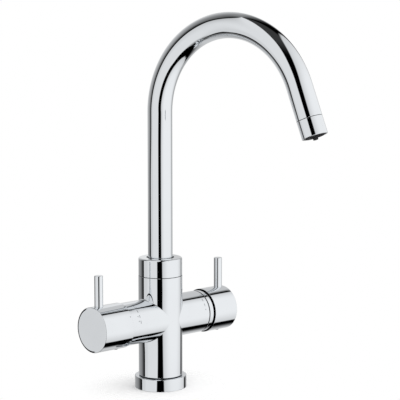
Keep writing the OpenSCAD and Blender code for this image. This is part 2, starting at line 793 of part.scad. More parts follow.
module aerator_seal() {
    color(rubber)
        at_tail()
            turned_ring(
                aerator_seal_bore_d / 2, aerator_bore_r - fit, aerator_seal_t, aerator_seal_t + aerator_seal_h
            );
}

module filter_nozzle() {
    color(black_plastic)
        at_tail()
            rotate_extrude()
                difference() {
                    union() {
                        band(nozzle_bore_d / 2, barb_r, nozzle_t, nozzle_shank_t + 1);
                        band(nozzle_bore_d / 2, nozzle_shank_r, nozzle_shank_t, outlet_end_t - 1);
                        band(nozzle_bore_d / 2, nozzle_tip_d / 2, nozzle_shank_t, outlet_end_t + nozzle_tip_l);
                    }
                    edge_cut(nozzle_tip_d / 2, outlet_end_t + nozzle_tip_l, 0.4);
                }
}

// Mixing cartridge

module mixer_ports(height, seal) {
    for (side = [-1, 1])
        translate([mixer_inlet_port[0], side * mixer_inlet_port[1], 0]) cylinder(r = port_r + seal, h = height);
    translate([mixer_outlet_port[0], 0, 0]) cylinder(r = outlet_port_r + seal, h = height);
}

module mixer_port_plate() {
    color(white_plastic)
        on_mixer_arm()
            translate([0, 0, plate_w])
                difference() {
                    cylinder(r = cartridge_r, h = port_plate_h);
                    translate([0, 0, -1]) mixer_ports(port_plate_h + 2, 0);
                }
}

module mixer_port_seals() {
    color(rubber)
        on_mixer_arm()
            translate([0, 0, mixer_floor_w])
                difference() {
                    mixer_ports(port_seal_h, port_seal_w);
                    translate([0, 0, -1]) mixer_ports(port_seal_h + 2, 0);
                }
}

module mixer_fixed_disc() {
    color(ceramic)
        on_mixer_arm()
            translate([0, 0, fixed_disc_w])
                difference() {
                    cylinder(r = fixed_disc_r, h = fixed_disc_h);
                    translate([0, 0, -1]) mixer_ports(fixed_disc_h + 2, 0);
                }
}

module mixer_moving_disc() {
    color(ceramic)
        on_mixer_arm()
            translate([0, 0, moving_disc_w])
                difference() {
                    cylinder(r = moving_disc_r, h = moving_disc_h);
                    intersection() {
                        translate([0, 0, -1]) cylinder(r = moving_disc_r - pocket_wall, h = moving_disc_h / 2 + 1);
                        translate([-moving_disc_r, -moving_disc_r, -2])
                            cube([moving_disc_r + pocket_rise, 2 * moving_disc_r, moving_disc_h + 2]);
                    }
                }
}

module mixer_disc_driver() {
    color(black_plastic)
        on_mixer_arm()
            difference() {
                union() {
                    translate([0, 0, driver_w]) cylinder(d = driver_d, h = driver_h);
                    translate([-driver_boss_l / 2, -driver_boss_w / 2, driver_w + driver_h - 0.5])
                        cube([driver_boss_l, driver_boss_w, driver_boss_h + 0.5]);
                }
                translate([0, 0, driver_w + driver_h - 1.2])
                    cylinder(r = ball_r + gap + fit, h = driver_boss_h + 3);
            }
}

module mixer_rotor() {
    color(black_plastic)
        on_mixer_arm()
            difference() {
                rotate_extrude() {
                    band(0, cartridge_in_r - gap, rotor_w, rotor_w + rotor_flange_h);
                    band(0, rotor_r, rotor_w, rotor_top_w);
                }
                translate([-rotor_slot_l / 2, -rotor_slot_w / 2, rotor_w - 1])
                    cube([rotor_slot_l, rotor_slot_w, rotor_top_w - rotor_w + 2]);
                translate([0, rotor_r + 1, pivot_w])
                    rotate([90, 0, 0]) cylinder(r = tilt_pin_d / 2 + 0.02, h = rotor_d + 2);
            }
}

module mixer_tilt_pin() {
    color(steel)
        on_mixer_arm()
            translate([0, rotor_r - 0.2, pivot_w])
                rotate([90, 0, 0]) cylinder(r = tilt_pin_d / 2, h = rotor_d - 0.4);
}

module mixer_stem() {
    color(brass)
        on_mixer_arm()
            difference() {
                union() {
                    translate([0, 0, ball_w]) sphere(r = ball_r);
                    translate([0, 0, ball_w]) cylinder(d = stem_neck_d, h = ball_arm);
                    translate([0, 0, pivot_w - stem_d / 2]) cylinder(r = stem_d / 2, h = stem_end_w - pivot_w + stem_d / 2);
                }
                translate([0, rotor_r, pivot_w])
                    rotate([90, 0, 0]) cylinder(r = tilt_pin_d / 2 + fit, h = rotor_d);
            }
}

module mixer_housing() {
    color(black_plastic)
        on_mixer_arm()
            rotate_extrude() {
                band(cartridge_in_r, cartridge_r, plate_w + port_plate_h + fit, shoulder_w);
                band(rotor_r + fit, cartridge_r, neck_w, shoulder_w);
                band(rotor_r + fit, neck_out_r, neck_w, housing_top_w);
            }
}

module mixer_nut() {
    color(brass)
        on_mixer_arm() turned_ring(neck_out_r + 2 * fit, mixer_nut_d / 2, mixer_nut_w, mixer_nut_top_w);
}

module mixer_trim_ring() {
    color(chrome)
        on_mixer_arm()
            rotate_extrude()
                difference() {
                    band(dome_seat_r + 2 * fit, trim_d / 2, mixer_arm_l, trim_end_w);
                    edge_cut(trim_d / 2, trim_end_w, 0.4);
                    edge_cut_low(trim_d / 2, mixer_arm_l, 0.3);
                }
}

// Black cover between the trim ring and the knob, ball-shaped about the tilt axis
module mixer_dome() {
    color(black_plastic)
        on_mixer_arm()
            rotate_extrude() {
                difference() {
                    translate([0, pivot_w]) circle(r = dome_r);
                    translate([0, pivot_w]) circle(r = dome_r - dome_wall);
                    translate([-2 * dome_r, -dome_r]) square([2 * dome_r + dome_hole_d / 2, 3 * dome_r + pivot_w]);
                    translate([0, -dome_r]) square([2 * dome_r, dome_r + trim_end_w + fit]);
                }
                band(dome_seat_r - dome_seat_w, dome_seat_r, mixer_nut_top_w + fit, trim_end_w + dome_seat_h);
            }
}

module mixer_knob() {
    color(chrome)
        on_mixer_arm()
            difference() {
                rotate_extrude()
                    difference() {
                        band(0, knob_rim_r, mixer_knob_w, mixer_knob_end_w);
                        translate([0, pivot_w]) circle(r = knob_hollow_r);
                        translate([-2 * knob_hollow_r, 0]) square([2 * knob_hollow_r, 2 * mixer_knob_end_w]);
                        edge_cut(knob_rim_r, mixer_knob_end_w, knob_edge_r);
                    }
                translate([0, 0, pivot_w]) cylinder(r = stem_d / 2 + fit, h = stem_end_w + fit - pivot_w);
                lever_hole(mixer_lever_w);
                screw_hole(mixer_screw_w);
            }
}

// Knob fittings, in the frame of the arm

module lever_hole(w) {
    translate([lever_stud_end - 0.2, 0, w]) rotate([0, 90, 0]) cylinder(r = lever_stud_d / 2 + fit, h = knob_rim_r);
    translate([lever_seat_r, 0, w]) rotate([0, 90, 0]) cylinder(r = lever_r + fit, h = knob_rim_r);
}

module lever(w) {
    translate([0, 0, w])
        rotate([0, 90, 0])
            rotate_extrude()
                difference() {
                    union() {
                        band(0, lever_stud_d / 2, lever_stud_end, lever_seat_r + 1);
                        band(0, lever_r, lever_seat_r, lever_reach);
                    }
                    edge_cut(lever_r, lever_reach, lever_edge_r);
                }
}

module screw_hole(w) {
    translate([0, 0, w]) rotate([0, -90, 0]) cylinder(r = set_screw_r + fit, h = knob_rim_r + 1);
}

module set_screw(w, grip_r) {
    translate([-grip_r - fit, 0, w])
        rotate([0, -90, 0])
            difference() {
                cylinder(r = set_screw_r, h = set_screw_l);
                translate([0, 0, set_screw_l - 2]) cylinder(r = set_screw_r / 2, h = 3, $fn = 6);
            }
}

module knob_plug(w) {
    translate([-plug_top_r, 0, w]) rotate([0, 90, 0]) cylinder(r = set_screw_r, h = plug_h);
}

module mixer_lever() {
    color(chrome) on_mixer_arm() lever(mixer_lever_w);
}

module mixer_set_screw() {
    color(steel) on_mixer_arm() set_screw(mixer_screw_w, stem_d / 2);
}

module mixer_knob_plug() {
    color(black_plastic) on_mixer_arm() knob_plug(mixer_screw_w);
}

// Filter valve

module filter_ports(height) {
    for (side = [-1, 1])
        translate([filter_inlet_port[0], side * filter_inlet_port[1], 0]) cylinder(r = port_r, h = height);
    cylinder(r = outlet_port_r, h = height);
}

module filter_valve_seal() {
    color(rubber)
        on_filter_arm()
            translate([0, 0, filter_floor_w])
                difference() {
                    cylinder(r = filter_valve_d / 2, h = filter_seal_h);
                    translate([0, 0, -1]) filter_ports(filter_seal_h + 2);
                }
}

module filter_fixed_disc() {
    color(ceramic)
        on_filter_arm()
            translate([0, 0, filter_disc_w])
                difference() {
                    cylinder(r = filter_disc_r, h = filter_disc_h);
                    translate([0, 0, -1]) filter_ports(filter_disc_h + 2);
                }
}

module filter_moving_disc() {
    color(ceramic)
        on_filter_arm()
            translate([0, 0, filter_moving_w])
                difference() {
                    cylinder(r = filter_moving_r, h = filter_moving_h);
                    translate([filter_moving_wall - filter_moving_r, -outlet_port_r, -1])
                        cube([
                            filter_moving_r - filter_moving_wall + outlet_port_r,
                            2 * outlet_port_r,
                            filter_moving_h / 2 + 1
                        ]);
                }
}

module filter_valve_housing() {
    color(brass)
        on_filter_arm()
            rotate_extrude()
                difference() {
                    union() {
                        band(0, filter_valve_d / 2, filter_floor_w + filter_seal_h + fit, filter_nut_seat_w + 1);
                        band(0, filter_nut_d / 2 - gap, filter_nut_seat_w + fit, filter_nut_seat_w + filter_flange_h);
                        band(0, filter_neck_d / 2, filter_nut_seat_w, filter_neck_end_w);
                    }
                    band(0, filter_chamber_r, filter_floor_w, filter_chamber_end_w);
                    band(0, spindle_r + fit, filter_floor_w, filter_neck_end_w + 1);
                }
}

module filter_valve_nut() {
    color(brass)
        on_filter_arm() turned_ring(filter_neck_d / 2 + 2 * fit, filter_nut_d / 2, filter_nut_w, filter_nut_top_w);
}

module filter_spindle() {
    color(brass)
        on_filter_arm()
            rotate_extrude()
                difference() {
                    union() {
                        band(0, spindle_flange_d / 2, spindle_w, spindle_w + spindle_flange_h);
                        band(0, spindle_r, spindle_w, spindle_end_w);
                    }
                    band(spindle_r - spindle_ring_t, spindle_r + 1, spindle_ring_w, spindle_ring_w + spindle_ring_h + 2 * fit);
                }
}

module filter_spindle_seal() {
    color(rubber)
        on_filter_arm()
            turned_ring(
                spindle_r - spindle_ring_t + 0.02, spindle_r + 0.02,
                spindle_ring_w + fit, spindle_ring_w + fit + spindle_ring_h
            );
}

module filter_knob() {
    color(chrome)
        on_filter_arm()
            difference() {
                rotate_extrude()
                    difference() {
                        band(0, knob_rim_r, filter_knob_w, filter_knob_end_w);
                        edge_cut(knob_rim_r, filter_knob_end_w, knob_edge_r);
                        edge_cut_low(knob_rim_r, filter_knob_w, 0.5);
                        band(filter_hub_r, knob_rim_r - knob_wall, filter_knob_w - 1, filter_knob_floor_w);
                        band(0, filter_hub_r + 1, filter_knob_w - 1, filter_hub_w);
                    }
                translate([0, 0, filter_hub_w - 1]) cylinder(r = spindle_r + fit, h = spindle_grip_l + 1 + fit);
                lever_hole(filter_lever_w);
                screw_hole(filter_screw_w);
            }
}

module filter_lever() {
    color(chrome) on_filter_arm() lever(filter_lever_w);
}

module filter_set_screw() {
    color(steel) on_filter_arm() set_screw(filter_screw_w, spindle_r);
}

module filter_knob_plug() {
    color(black_plastic) on_filter_arm() knob_plug(filter_screw_w);
}

body_casting();
base_ring();
base_seal();
inlet_block();
inlet_seals();
spout_collar();
spout_slide_ring();
spout_slide_washer();
spout_stop_screw();
filter_nipple();
spout_tube();
spout_foot();
spout_o_rings();
filter_water_tube();
aerator_housing();
aerator_insert();
aerator_seal();
filter_nozzle();
mixer_housing();
mixer_port_plate();
mixer_port_seals();
mixer_fixed_disc();
mixer_nut();
mixer_trim_ring();
mixer_dome();
mixer_rotor();
mixer_tilt_pin();
mixer_moving_disc();
mixer_disc_driver();
mixer_stem();
mixer_knob();
mixer_lever();
mixer_set_screw();
mixer_knob_plug();
filter_valve_housing();
filter_valve_seal();
filter_fixed_disc();
filter_valve_nut();
filter_spindle();
filter_moving_disc();
filter_spindle_seal();
filter_knob();
filter_lever();
filter_set_screw();
filter_knob_plug();
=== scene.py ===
# %% [markdown]
# Four-way kitchen mixer tap in polished chrome. A cross-shaped body carries a lever knob on each
# arm and a tall swan-neck spout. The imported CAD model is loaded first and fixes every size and
# place, so this file only adds what the eye sees: smooth plated surfaces, rounded edges, etched
# marks, the outlet's ribs and the finishes. Sizes are in millimetres, as on a workshop drawing,
# and the mesh maker turns them into metres. The camera, the tent and the floor are in metres.
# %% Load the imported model
import math

import bmesh
import bpy
import numpy as np
from mathutils import Matrix, Vector


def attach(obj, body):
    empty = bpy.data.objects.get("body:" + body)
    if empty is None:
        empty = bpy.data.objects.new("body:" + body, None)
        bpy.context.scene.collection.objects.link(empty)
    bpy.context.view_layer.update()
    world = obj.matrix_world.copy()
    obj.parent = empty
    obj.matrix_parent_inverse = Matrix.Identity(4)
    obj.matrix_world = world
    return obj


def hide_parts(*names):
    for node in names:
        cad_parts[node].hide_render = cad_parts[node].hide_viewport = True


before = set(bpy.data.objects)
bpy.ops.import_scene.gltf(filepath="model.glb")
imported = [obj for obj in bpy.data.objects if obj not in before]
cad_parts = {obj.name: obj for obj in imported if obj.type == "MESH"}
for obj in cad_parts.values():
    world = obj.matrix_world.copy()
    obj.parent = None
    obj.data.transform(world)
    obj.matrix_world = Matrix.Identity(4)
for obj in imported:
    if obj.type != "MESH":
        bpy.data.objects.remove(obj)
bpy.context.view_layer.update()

MM = 0.001

# %% [markdown]
# The tap is seen from a little above, by a camera that stands well back, so upright lines stay
# almost parallel. The camera's place was found by fitting the CAD model's outlines to the picture,
# and a long lens gives the same narrow view.
# %% Camera
CAMERA_PLACE = (-0.9918, -1.1226, 0.3804)
CAMERA_TILT = math.radians(82.83)
CAMERA_HEADING = math.radians(-43.0)


def shown(name, data):
    """Object that shows a mesh, a camera or a lamp in the scene."""
    made = bpy.data.objects.new(name, data)
    bpy.context.scene.collection.objects.link(made)
    return made


camera_data = bpy.data.cameras.new("Camera")
camera_data.sensor_width = 36
camera_data.lens = 134.57
camera_data.clip_start = 0.05
camera = shown("Camera", camera_data)
camera.location = CAMERA_PLACE
camera.rotation_euler = (CAMERA_TILT, 0, CAMERA_HEADING)
bpy.context.scene.camera = camera
bpy.context.scene.view_settings.view_transform = "Standard"
print("camera stands at", tuple(camera.location))

# %% [markdown]
# Shaders and Geometry Nodes are both built from code. One small class adds the nodes of a tree. It
# sets a node's options before its inputs, and an input takes either a value or another socket.
# %% Nodes of a tree
class Net:
    """A node tree to which sums and other nodes are added."""

    def __init__(self, tree):
        self.tree = tree

    def node(self, kind, options=None, **inputs):
        made = self.tree.nodes.new(kind)
        for name, value in (options or {}).items():
            setattr(made, name, value)
        for name, value in inputs.items():
            self.feed(made.inputs[name.replace("_", " ")], value)
        return made

    def feed(self, socket, value):
        if isinstance(value, Amount):
            self.tree.links.new(value.socket, socket)
        elif isinstance(value, bpy.types.NodeSocket):
            self.tree.links.new(value, socket)
        else:
            socket.default_value = value

    def filled(self, made, *values):
        """Outputs of a node whose first sockets take the values in order."""
        for socket, value in zip(made.inputs, values):
            self.feed(socket, value)
        return made.outputs

    def amount(self, socket):
        return Amount(self, socket)

    def maths(self, operation, *values):
        return Amount(self, self.filled(self.node("ShaderNodeMath", {"operation": operation}), *values)[0])

    def vector(self, operation, *values):
        """Vector Math. Its first output is a vector and its second a number."""
        return self.filled(self.node("ShaderNodeVectorMath", {"operation": operation}), *values)

    def combined(self, *parts):
        """Vector from its X, Y and Z."""
        return self.filled(self.node("ShaderNodeCombineXYZ"), *parts)[0]

    def parts(self, vector):
        """X, Y and Z of a vector."""
        return [self.amount(part) for part in self.node("ShaderNodeSeparateXYZ", Vector=vector).outputs]

    def ending(self, kind, socket):
        self.feed(self.node(kind).inputs[0], socket)


print("a net adds nodes and links them")

# %% [markdown]
# Patterns are sums on sockets. Wrapping a socket in a second small class lets those sums be written
# as plain Python, and each operator adds its Math node.
# %% Sums on sockets
class Amount:
    """A number on a socket that takes part in Python sums."""

    def __init__(self, net, socket):
        self.net = net
        self.socket = socket

    def __add__(self, other):
        return self.net.maths("ADD", self, other)

    def __sub__(self, other):
        return self.net.maths("SUBTRACT", self, other)

    def __rsub__(self, other):
        return self.net.maths("SUBTRACT", other, self)

    def __mul__(self, other):
        return self.net.maths("MULTIPLY", self, other)

    def __truediv__(self, other):
        return self.net.maths("DIVIDE", self, other)

    def __rtruediv__(self, other):
        return self.net.maths("DIVIDE", other, self)

    def __neg__(self):
        return self.net.maths("MULTIPLY", self, -1.0)

    __radd__ = __add__
    __rmul__ = __mul__

    def rise(self, low, high):
        """Soft step from 0 at low to 1 at high. With low above high it falls as the amount grows."""
        step = self.net.node("ShaderNodeMapRange", {"interpolation_type": "SMOOTHSTEP"})
        return Amount(self.net, self.net.filled(step, self, low, high, 0.0, 1.0)[0])


print("sums on sockets ready")

# %% [markdown]
# Every material starts as an empty tree, and most of them need the same few things: a place on the
# object, a mix of two colours or of two shaders, and an output.
# %% Starting a material
WHITE = (1, 1, 1, 1)


def new_paint(name):
    """Empty material and the net that fills it."""
    paint = bpy.data.materials.new(name)
    paint.use_nodes = True
    paint.node_tree.nodes.clear()
    return paint, Net(paint.node_tree)


def object_place(net):
    return net.node("ShaderNodeTexCoord").outputs["Object"]


def shade_between(net, share, first, second):
    """Colour that goes from the first to the second with the share."""
    mix = net.node("ShaderNodeMix", {"data_type": "RGBA", "blend_type": "MIX"})
    for number, value in ((0, share), (6, (*first, 1)), (7, (*second, 1))):
        net.feed(mix.inputs[number], value)
    return mix.outputs[2]


def shader_between(net, share, first, second):
    """Shader that goes from the first to the second with the share."""
    return net.filled(net.node("ShaderNodeMixShader"), share, first.outputs[0], second.outputs[0])[0]


print("material helpers ready")

# %% [markdown]
# Chrome shows little of itself and much of the room, so the room matters most here. The tap stood
# in a small tent between two large white panels, near enough that its top and its foot see them
# at different angles. Real panels would hide the tap from other sides, so the tent is a ball that
# only mirror rays meet. Its paint draws the panels by bearing and height, in degrees from the
# ball's centre. The bearing is 0 towards the camera's place and grows to the picture's right.
#
# A panel leans, so its measures shift with height. Each is written as its plain value and then its
# shifts: one height, another height, and how much the measure grows between them. A panel's rim is
# where its rim amount is 1, and a dimming is the share of light that is lost at most.
# %% Panels of the tent
RIGHT_MIDDLE = (70.7, (-2, 24, 7.1))
RIGHT_HALF_WIDE = (60.7, (-2, 24, -4.7))
RIGHT_HALF_TALL = (65.4, (-2, 24, -5.3))
RIGHT_FOOT_TRIM = 4.2
RIGHT_CORNER_POWER = (2.39, (-23, -26, 0.44))
LEFT_FAR_EDGE = (-92.5, (-6, 6, 10.4), (50, 94, 33), (-30, -35, 6.5))
LEFT_NEAR_EDGE = (-15.0, (1, 22, 13), (30, 56, 9), (-33, -66, -19), (-28, -33, 2))
RIGHT_DIMMING = 0.34
LEFT_LIGHT = 0.86
LEFT_SIDE_DIMMING = 0.1
LEFT_TOP_DIMMING = 0.5


def shifted(height, measure):
    """A measure at the height, from its plain value and its shifts."""
    total = measure[0]
    for low, high, growth in measure[1:]:
        total = height.rise(low, high) * growth + total
    return total


def right_rim(net, bearing, height):
    """0 in the right panel's middle and 1 on its rim. A sum of powers rounds the corners."""
    foot_trim = bearing.rise(86, 100) * height.rise(-20, -30) * RIGHT_FOOT_TRIM
    half_tall = shifted(height, RIGHT_HALF_TALL) - foot_trim
    corner_power = shifted(height, RIGHT_CORNER_POWER)
    aside = net.maths("ABSOLUTE", bearing - shifted(height, RIGHT_MIDDLE)) / shifted(height, RIGHT_HALF_WIDE)
    upward = net.maths("ABSOLUTE", height) / half_tall
    powers = net.maths("POWER", aside, corner_power) + net.maths("POWER", upward, corner_power)
    return net.maths("POWER", powers, 1.0 / corner_power)


def right_panel(bearing, height, rim):
    """White inside the rim, dimmer towards it, with one low corner cut off."""
    inside = 1.0 - rim.rise(0.97, 1.03)
    dimming = 1.0 - rim.rise(0.49, 1.18) * RIGHT_DIMMING
    cut_corner = bearing.rise(114, 122) * height.rise(-41, -43)
    return inside * dimming * (1.0 - cut_corner)


def left_panel(bearing, height, far_edge):
    """The left panel leans over the tap and fades towards its top, its foot and its far side."""
    near_edge = shifted(height, LEFT_NEAR_EDGE)
    inside = (bearing - far_edge).rise(-1.2, 1.2) * (near_edge - bearing).rise(-1.5, 1.5)
    top_fade = 1.0 - height.rise(30, 98) * bearing.rise(-30, -70) * LEFT_TOP_DIMMING
    foot_fade = 1.0 - height.rise(-44, -77)
    side_light = LEFT_LIGHT - bearing.rise(-61, -75) * LEFT_SIDE_DIMMING
    return inside * top_fade * foot_fade * side_light


print("panels planned between bearings", LEFT_FAR_EDGE[0], "and", RIGHT_MIDDLE[0] + RIGHT_HALF_WIDE[0])

# %% [markdown]
# Behind the tap the tent's cloth is grey. It is darkest next to each panel, where the thin black
# lines along the tap's edges come from, and lightest straight behind.
# %% Back of the tent
BACK_START = (1.03, (10, 24, 0.07), (48, 60, 0.05))
BACK_STRETCH = (0.44, (46, 56, 0.3), (32, 50, 0.12), (10, 24, -0.2))
BACK_HIGH_LIGHT = 0.645
BACK_LOW_LIGHT = 0.66
BACK_TOP_DIMMING = 0.6
STRIP_LIGHT = 0.45
LEFT_BACK_LIGHTS = (0.28, 0.36)
LEFT_BACK_GAIN = 0.45


def tent_back(net, bearing, height, rim, far_edge):
    """Grey behind both panels, with a strip at middle height beside the right one."""
    past = far_edge - bearing
    left = past.rise(4, 34) * LEFT_BACK_LIGHTS[0] + past.rise(22, 110) * LEFT_BACK_LIGHTS[1]
    left = left * (1.0 + height.rise(-20, -5) * height.rise(60, 35) * LEFT_BACK_GAIN)
    beyond_rim = (rim - shifted(height, BACK_START)) / shifted(height, BACK_STRETCH)
    from_side = bearing.rise(95, 125)
    high = beyond_rim.rise(0, 1) * from_side * height.rise(-6, 6) * BACK_HIGH_LIGHT
    low = bearing.rise(129, 166) * height.rise(6, -6) * BACK_LOW_LIGHT
    middle = 1.0 - net.maths("ABSOLUTE", height).rise(26, 28)
    strip = middle * rim.rise(0.97, 1.05) * from_side * STRIP_LIGHT
    back = net.maths("MAXIMUM", left, net.maths("MAXIMUM", high + low, strip))
    return back * (1.0 - height.rise(50, 84) * BACK_TOP_DIMMING)


print("the back starts where the right panel's rim amount is", BACK_START[0])

# %% [markdown]
# The ball's paint is the sum of panels, back and a faint roof. The direction from the ball's centre
# to the spot that is painted gives the bearing and the height.
# %% Light tent
TENT_R = 0.42
TENT_CENTRE = Vector((0, 0, 0.2))
TOWARDS = Vector((-0.682, -0.7314, 0.0))
RIGHTWARDS = Vector((0.7314, -0.682, 0.0))
ROOF_LIGHT = 0.045


def tent_light(net, direction):
    """Brightness of the tent seen in a direction from its centre."""
    across = net.amount(net.vector("DOT_PRODUCT", direction, RIGHTWARDS)[1])
    ahead = net.amount(net.vector("DOT_PRODUCT", direction, TOWARDS)[1])
    height = net.maths("ARCSINE", net.parts(direction)[2]) * math.degrees(1)
    bearing = net.maths("ARCTAN2", across, ahead) * math.degrees(1)
    rim = right_rim(net, bearing, height)
    far_edge = shifted(height, LEFT_FAR_EDGE)
    panels = right_panel(bearing, height, rim) + left_panel(bearing, height, far_edge)
    back = tent_back(net, bearing, height, rim, far_edge)
    roof = height.rise(46, 61) * bearing.rise(5, 11) * (1.0 - bearing.rise(64, 83)) * ROOF_LIGHT
    return panels + back + roof


def tent_paint():
    paint, net = new_paint("TentCloth")
    from_centre = net.vector("SUBTRACT", object_place(net), TENT_CENTRE)[0]
    light = tent_light(net, net.vector("NORMALIZE", from_centre)[0])
    cloth = net.node("ShaderNodeEmission", Color=light, Strength=1.0)
    clear = net.node("ShaderNodeBsdfTransparent", Color=WHITE)
    mirrored = net.node("ShaderNodeLightPath").outputs["Is Glossy Ray"]
    net.ending("ShaderNodeOutputMaterial", shader_between(net, mirrored, clear, cloth))
    return paint


def stage_object(name, form, paint):
    mesh = bpy.data.meshes.new(name)
    form.to_mesh(mesh)
    form.free()
    mesh.materials.append(paint)
    made = shown(name, mesh)
    return made


tent_form = bmesh.new()
bmesh.ops.create_uvsphere(
    tent_form, u_segments=96, v_segments=48, radius=TENT_R, matrix=Matrix.Translation(TENT_CENTRE),
)
tent = stage_object("Tent", tent_form, tent_paint())
print("tent drawn with", len(tent.data.materials[0].node_tree.nodes), "nodes")

# %% [markdown]
# Everything that is not a mirror ray sees the world. It is an even white that lights matt things
# from all sides, and the camera sees it as the white background.
# %% White surroundings
world = bpy.data.worlds.new("WhiteRoom")
bpy.context.scene.world = world
world.use_nodes = True
world.node_tree.nodes.clear()
room = Net(world.node_tree)
even_light = room.node("ShaderNodeBackground", Color=WHITE, Strength=1.0)
room.ending("ShaderNodeOutputWorld", even_light.outputs[0])
print("world ready")

# %% [markdown]
# The floor is a plain pale disc. It catches the soft shadow round the base and fades into the
# white background well before its edge, so no rim shows from any side. Mirror rays pass it and
# meet the lower half of the tent. One large soft lamp above deepens the shadow a little.
# %% Floor and lamp
FLOOR_R = 1.6
FADE_START = 0.01
FADE_END = 0.09
LAMP_PLACE = Vector((0.4, -0.9, 1.8))
LAMP_AIM = Vector((0, 0, 0.1))


def pale_floor_paint():
    paint, net = new_paint("PaleFloor")
    far = net.amount(net.vector("LENGTH", object_place(net))[1])
    matt = net.node("ShaderNodeBsdfDiffuse", Color=WHITE)
    clear = net.node("ShaderNodeBsdfTransparent", Color=WHITE)
    from_metal = net.node("ShaderNodeLightPath").outputs["Is Glossy Ray"]
    see_through = net.maths("MAXIMUM", from_metal, far.rise(FADE_START, FADE_END))
    net.ending("ShaderNodeOutputMaterial", shader_between(net, see_through, matt, clear))
    return paint


floor_form = bmesh.new()
bmesh.ops.create_circle(floor_form, cap_ends=True, segments=96, radius=FLOOR_R)
stage_object("Floor", floor_form, pale_floor_paint())

lamp_data = bpy.data.lights.new("SoftBox", "AREA")
lamp_data.shape = "DISK"
lamp_data.size = 1.2
lamp_data.energy = 11
lamp = shown("SoftBox", lamp_data)
lamp.location = LAMP_PLACE
lamp.rotation_euler = (LAMP_AIM - LAMP_PLACE).to_track_quat("-Z", "Y").to_euler()
lamp.visible_glossy = False
print("floor radius", FLOOR_R, "m, lamp power", lamp_data.energy, "W")

# %% [markdown]
# Almost every piece of a tap is turned on a lathe, so the main tool here is an outline of straight
# runs and rounded corners. Each spot of a run is kept with its facing, the exact direction that
# the surface looks in there.
# %% Outlines
CORNER_STEP = 15.0


def arc_run(centre, radius, start, end, steps, hollow=False):
    """Run of an outline along a circle, from one angle in degrees to another."""
    run = []
    for angle in np.radians(np.linspace(start, end, steps + 1)):
        way = Vector((math.cos(angle), math.sin(angle)))
        run.append((Vector(centre) + way * radius, -way if hollow else way))
    return run


def outline(corners, closed=False):
    """Runs of an outline through corners of (radius, height, rounding), its inside on the left."""
    spots = [Vector(corner[:2]) for corner in corners]
    roundings = [corner[2] if len(corner) > 2 else 0.0 for corner in corners]
    count = len(spots)
    starts = [spot.copy() for spot in spots]
    ends = [spot.copy() for spot in spots]
    bends = {}
    for i in range(count):
        if not closed and i in (0, count - 1) or not roundings[i]:
            continue
        before = (spots[i] - spots[i - 1]).normalized()
        after = (spots[(i + 1) % count] - spots[i]).normalized()
        turn = math.atan2(before.x * after.y - before.y * after.x, before.dot(after))
        reach = roundings[i] * math.tan(abs(turn) / 2)
        starts[i] = spots[i] - before * reach
        ends[i] = spots[i] + after * reach
        side = math.copysign(1.0, turn)
        facing = Vector((before.y, -before.x))
        centre = starts[i] - facing * roundings[i] * side
        run = []
        steps = max(2, math.ceil(math.degrees(abs(turn)) / CORNER_STEP))
        for share in np.linspace(0, 1, steps + 1):
            way = Matrix.Rotation(turn * share, 2) @ facing
            run.append((centre + way * roundings[i] * side, way))
        bends[i] = run
    runs = []
    for i in range(count):
        if i in bends:
            runs.append(bends[i])
        if i == count - 1 and not closed:
            break
        here, there = ends[i], starts[(i + 1) % count]
        along = (there - here).normalized()
        facing = Vector((along.y, -along.x))
        runs.append([(here, facing), (there, facing)])
    return runs


def bore(end, *steps):
    """Outline of a rod or a stepped bore, from each step's radius and start up to the end."""
    corners = [(0, steps[0][1])]
    stops = [start for _, start in steps[1:]] + [end]
    for (radius, start), stop in zip(steps, stops):
        corners += [(radius, start), (radius, stop)]
    return outline(corners + [(0, end)])


print("a rounded corner becomes", len(outline([(0, 0), (1, 0, 0.1), (1, 1)])), "runs with its two sides")

# %% [markdown]
# Every piece has an axis that its outline is turned round. A frame holds where the axis starts, the
# way it points and the way from which the turn is measured. The tap has three main frames: upright
# in the column's axis, and along each arm.
# %% Frames
ARM_Z = 71.1


def frame_of(origin, x_axis, axis):
    """Local frame whose Z axis is the axis that a piece is turned round."""
    z = Vector(axis).normalized()
    x = Vector(x_axis).normalized()
    y = z.cross(x)
    turned = Matrix((x, y, z)).transposed().to_4x4()
    turned.translation = Vector(origin)
    return turned


UPRIGHT = frame_of((0, 0, 0), (1, 0, 0), (0, 0, 1))
MIXER_ARM = frame_of((0, 0, ARM_Z), (0, 0, 1), (1, 0, 0))
FILTER_ARM = frame_of((0, 0, ARM_Z), (0, 0, 1), (-1, 0, 0))
print("arms", ARM_Z, "mm above the table")

# %% [markdown]
# An outline is turned round an axis to make a shell. Chrome shows the least error in a surface's
# direction, so each face corner keeps the exact direction of the drawn surface instead of one
# guessed from its neighbours.
# %% Turned shells
WELD = 0.0004


def full_turn(sides):
    return np.linspace(0, 2 * math.pi, sides + 1)


def flat_points(points):
    return points.reshape(-1, 3)


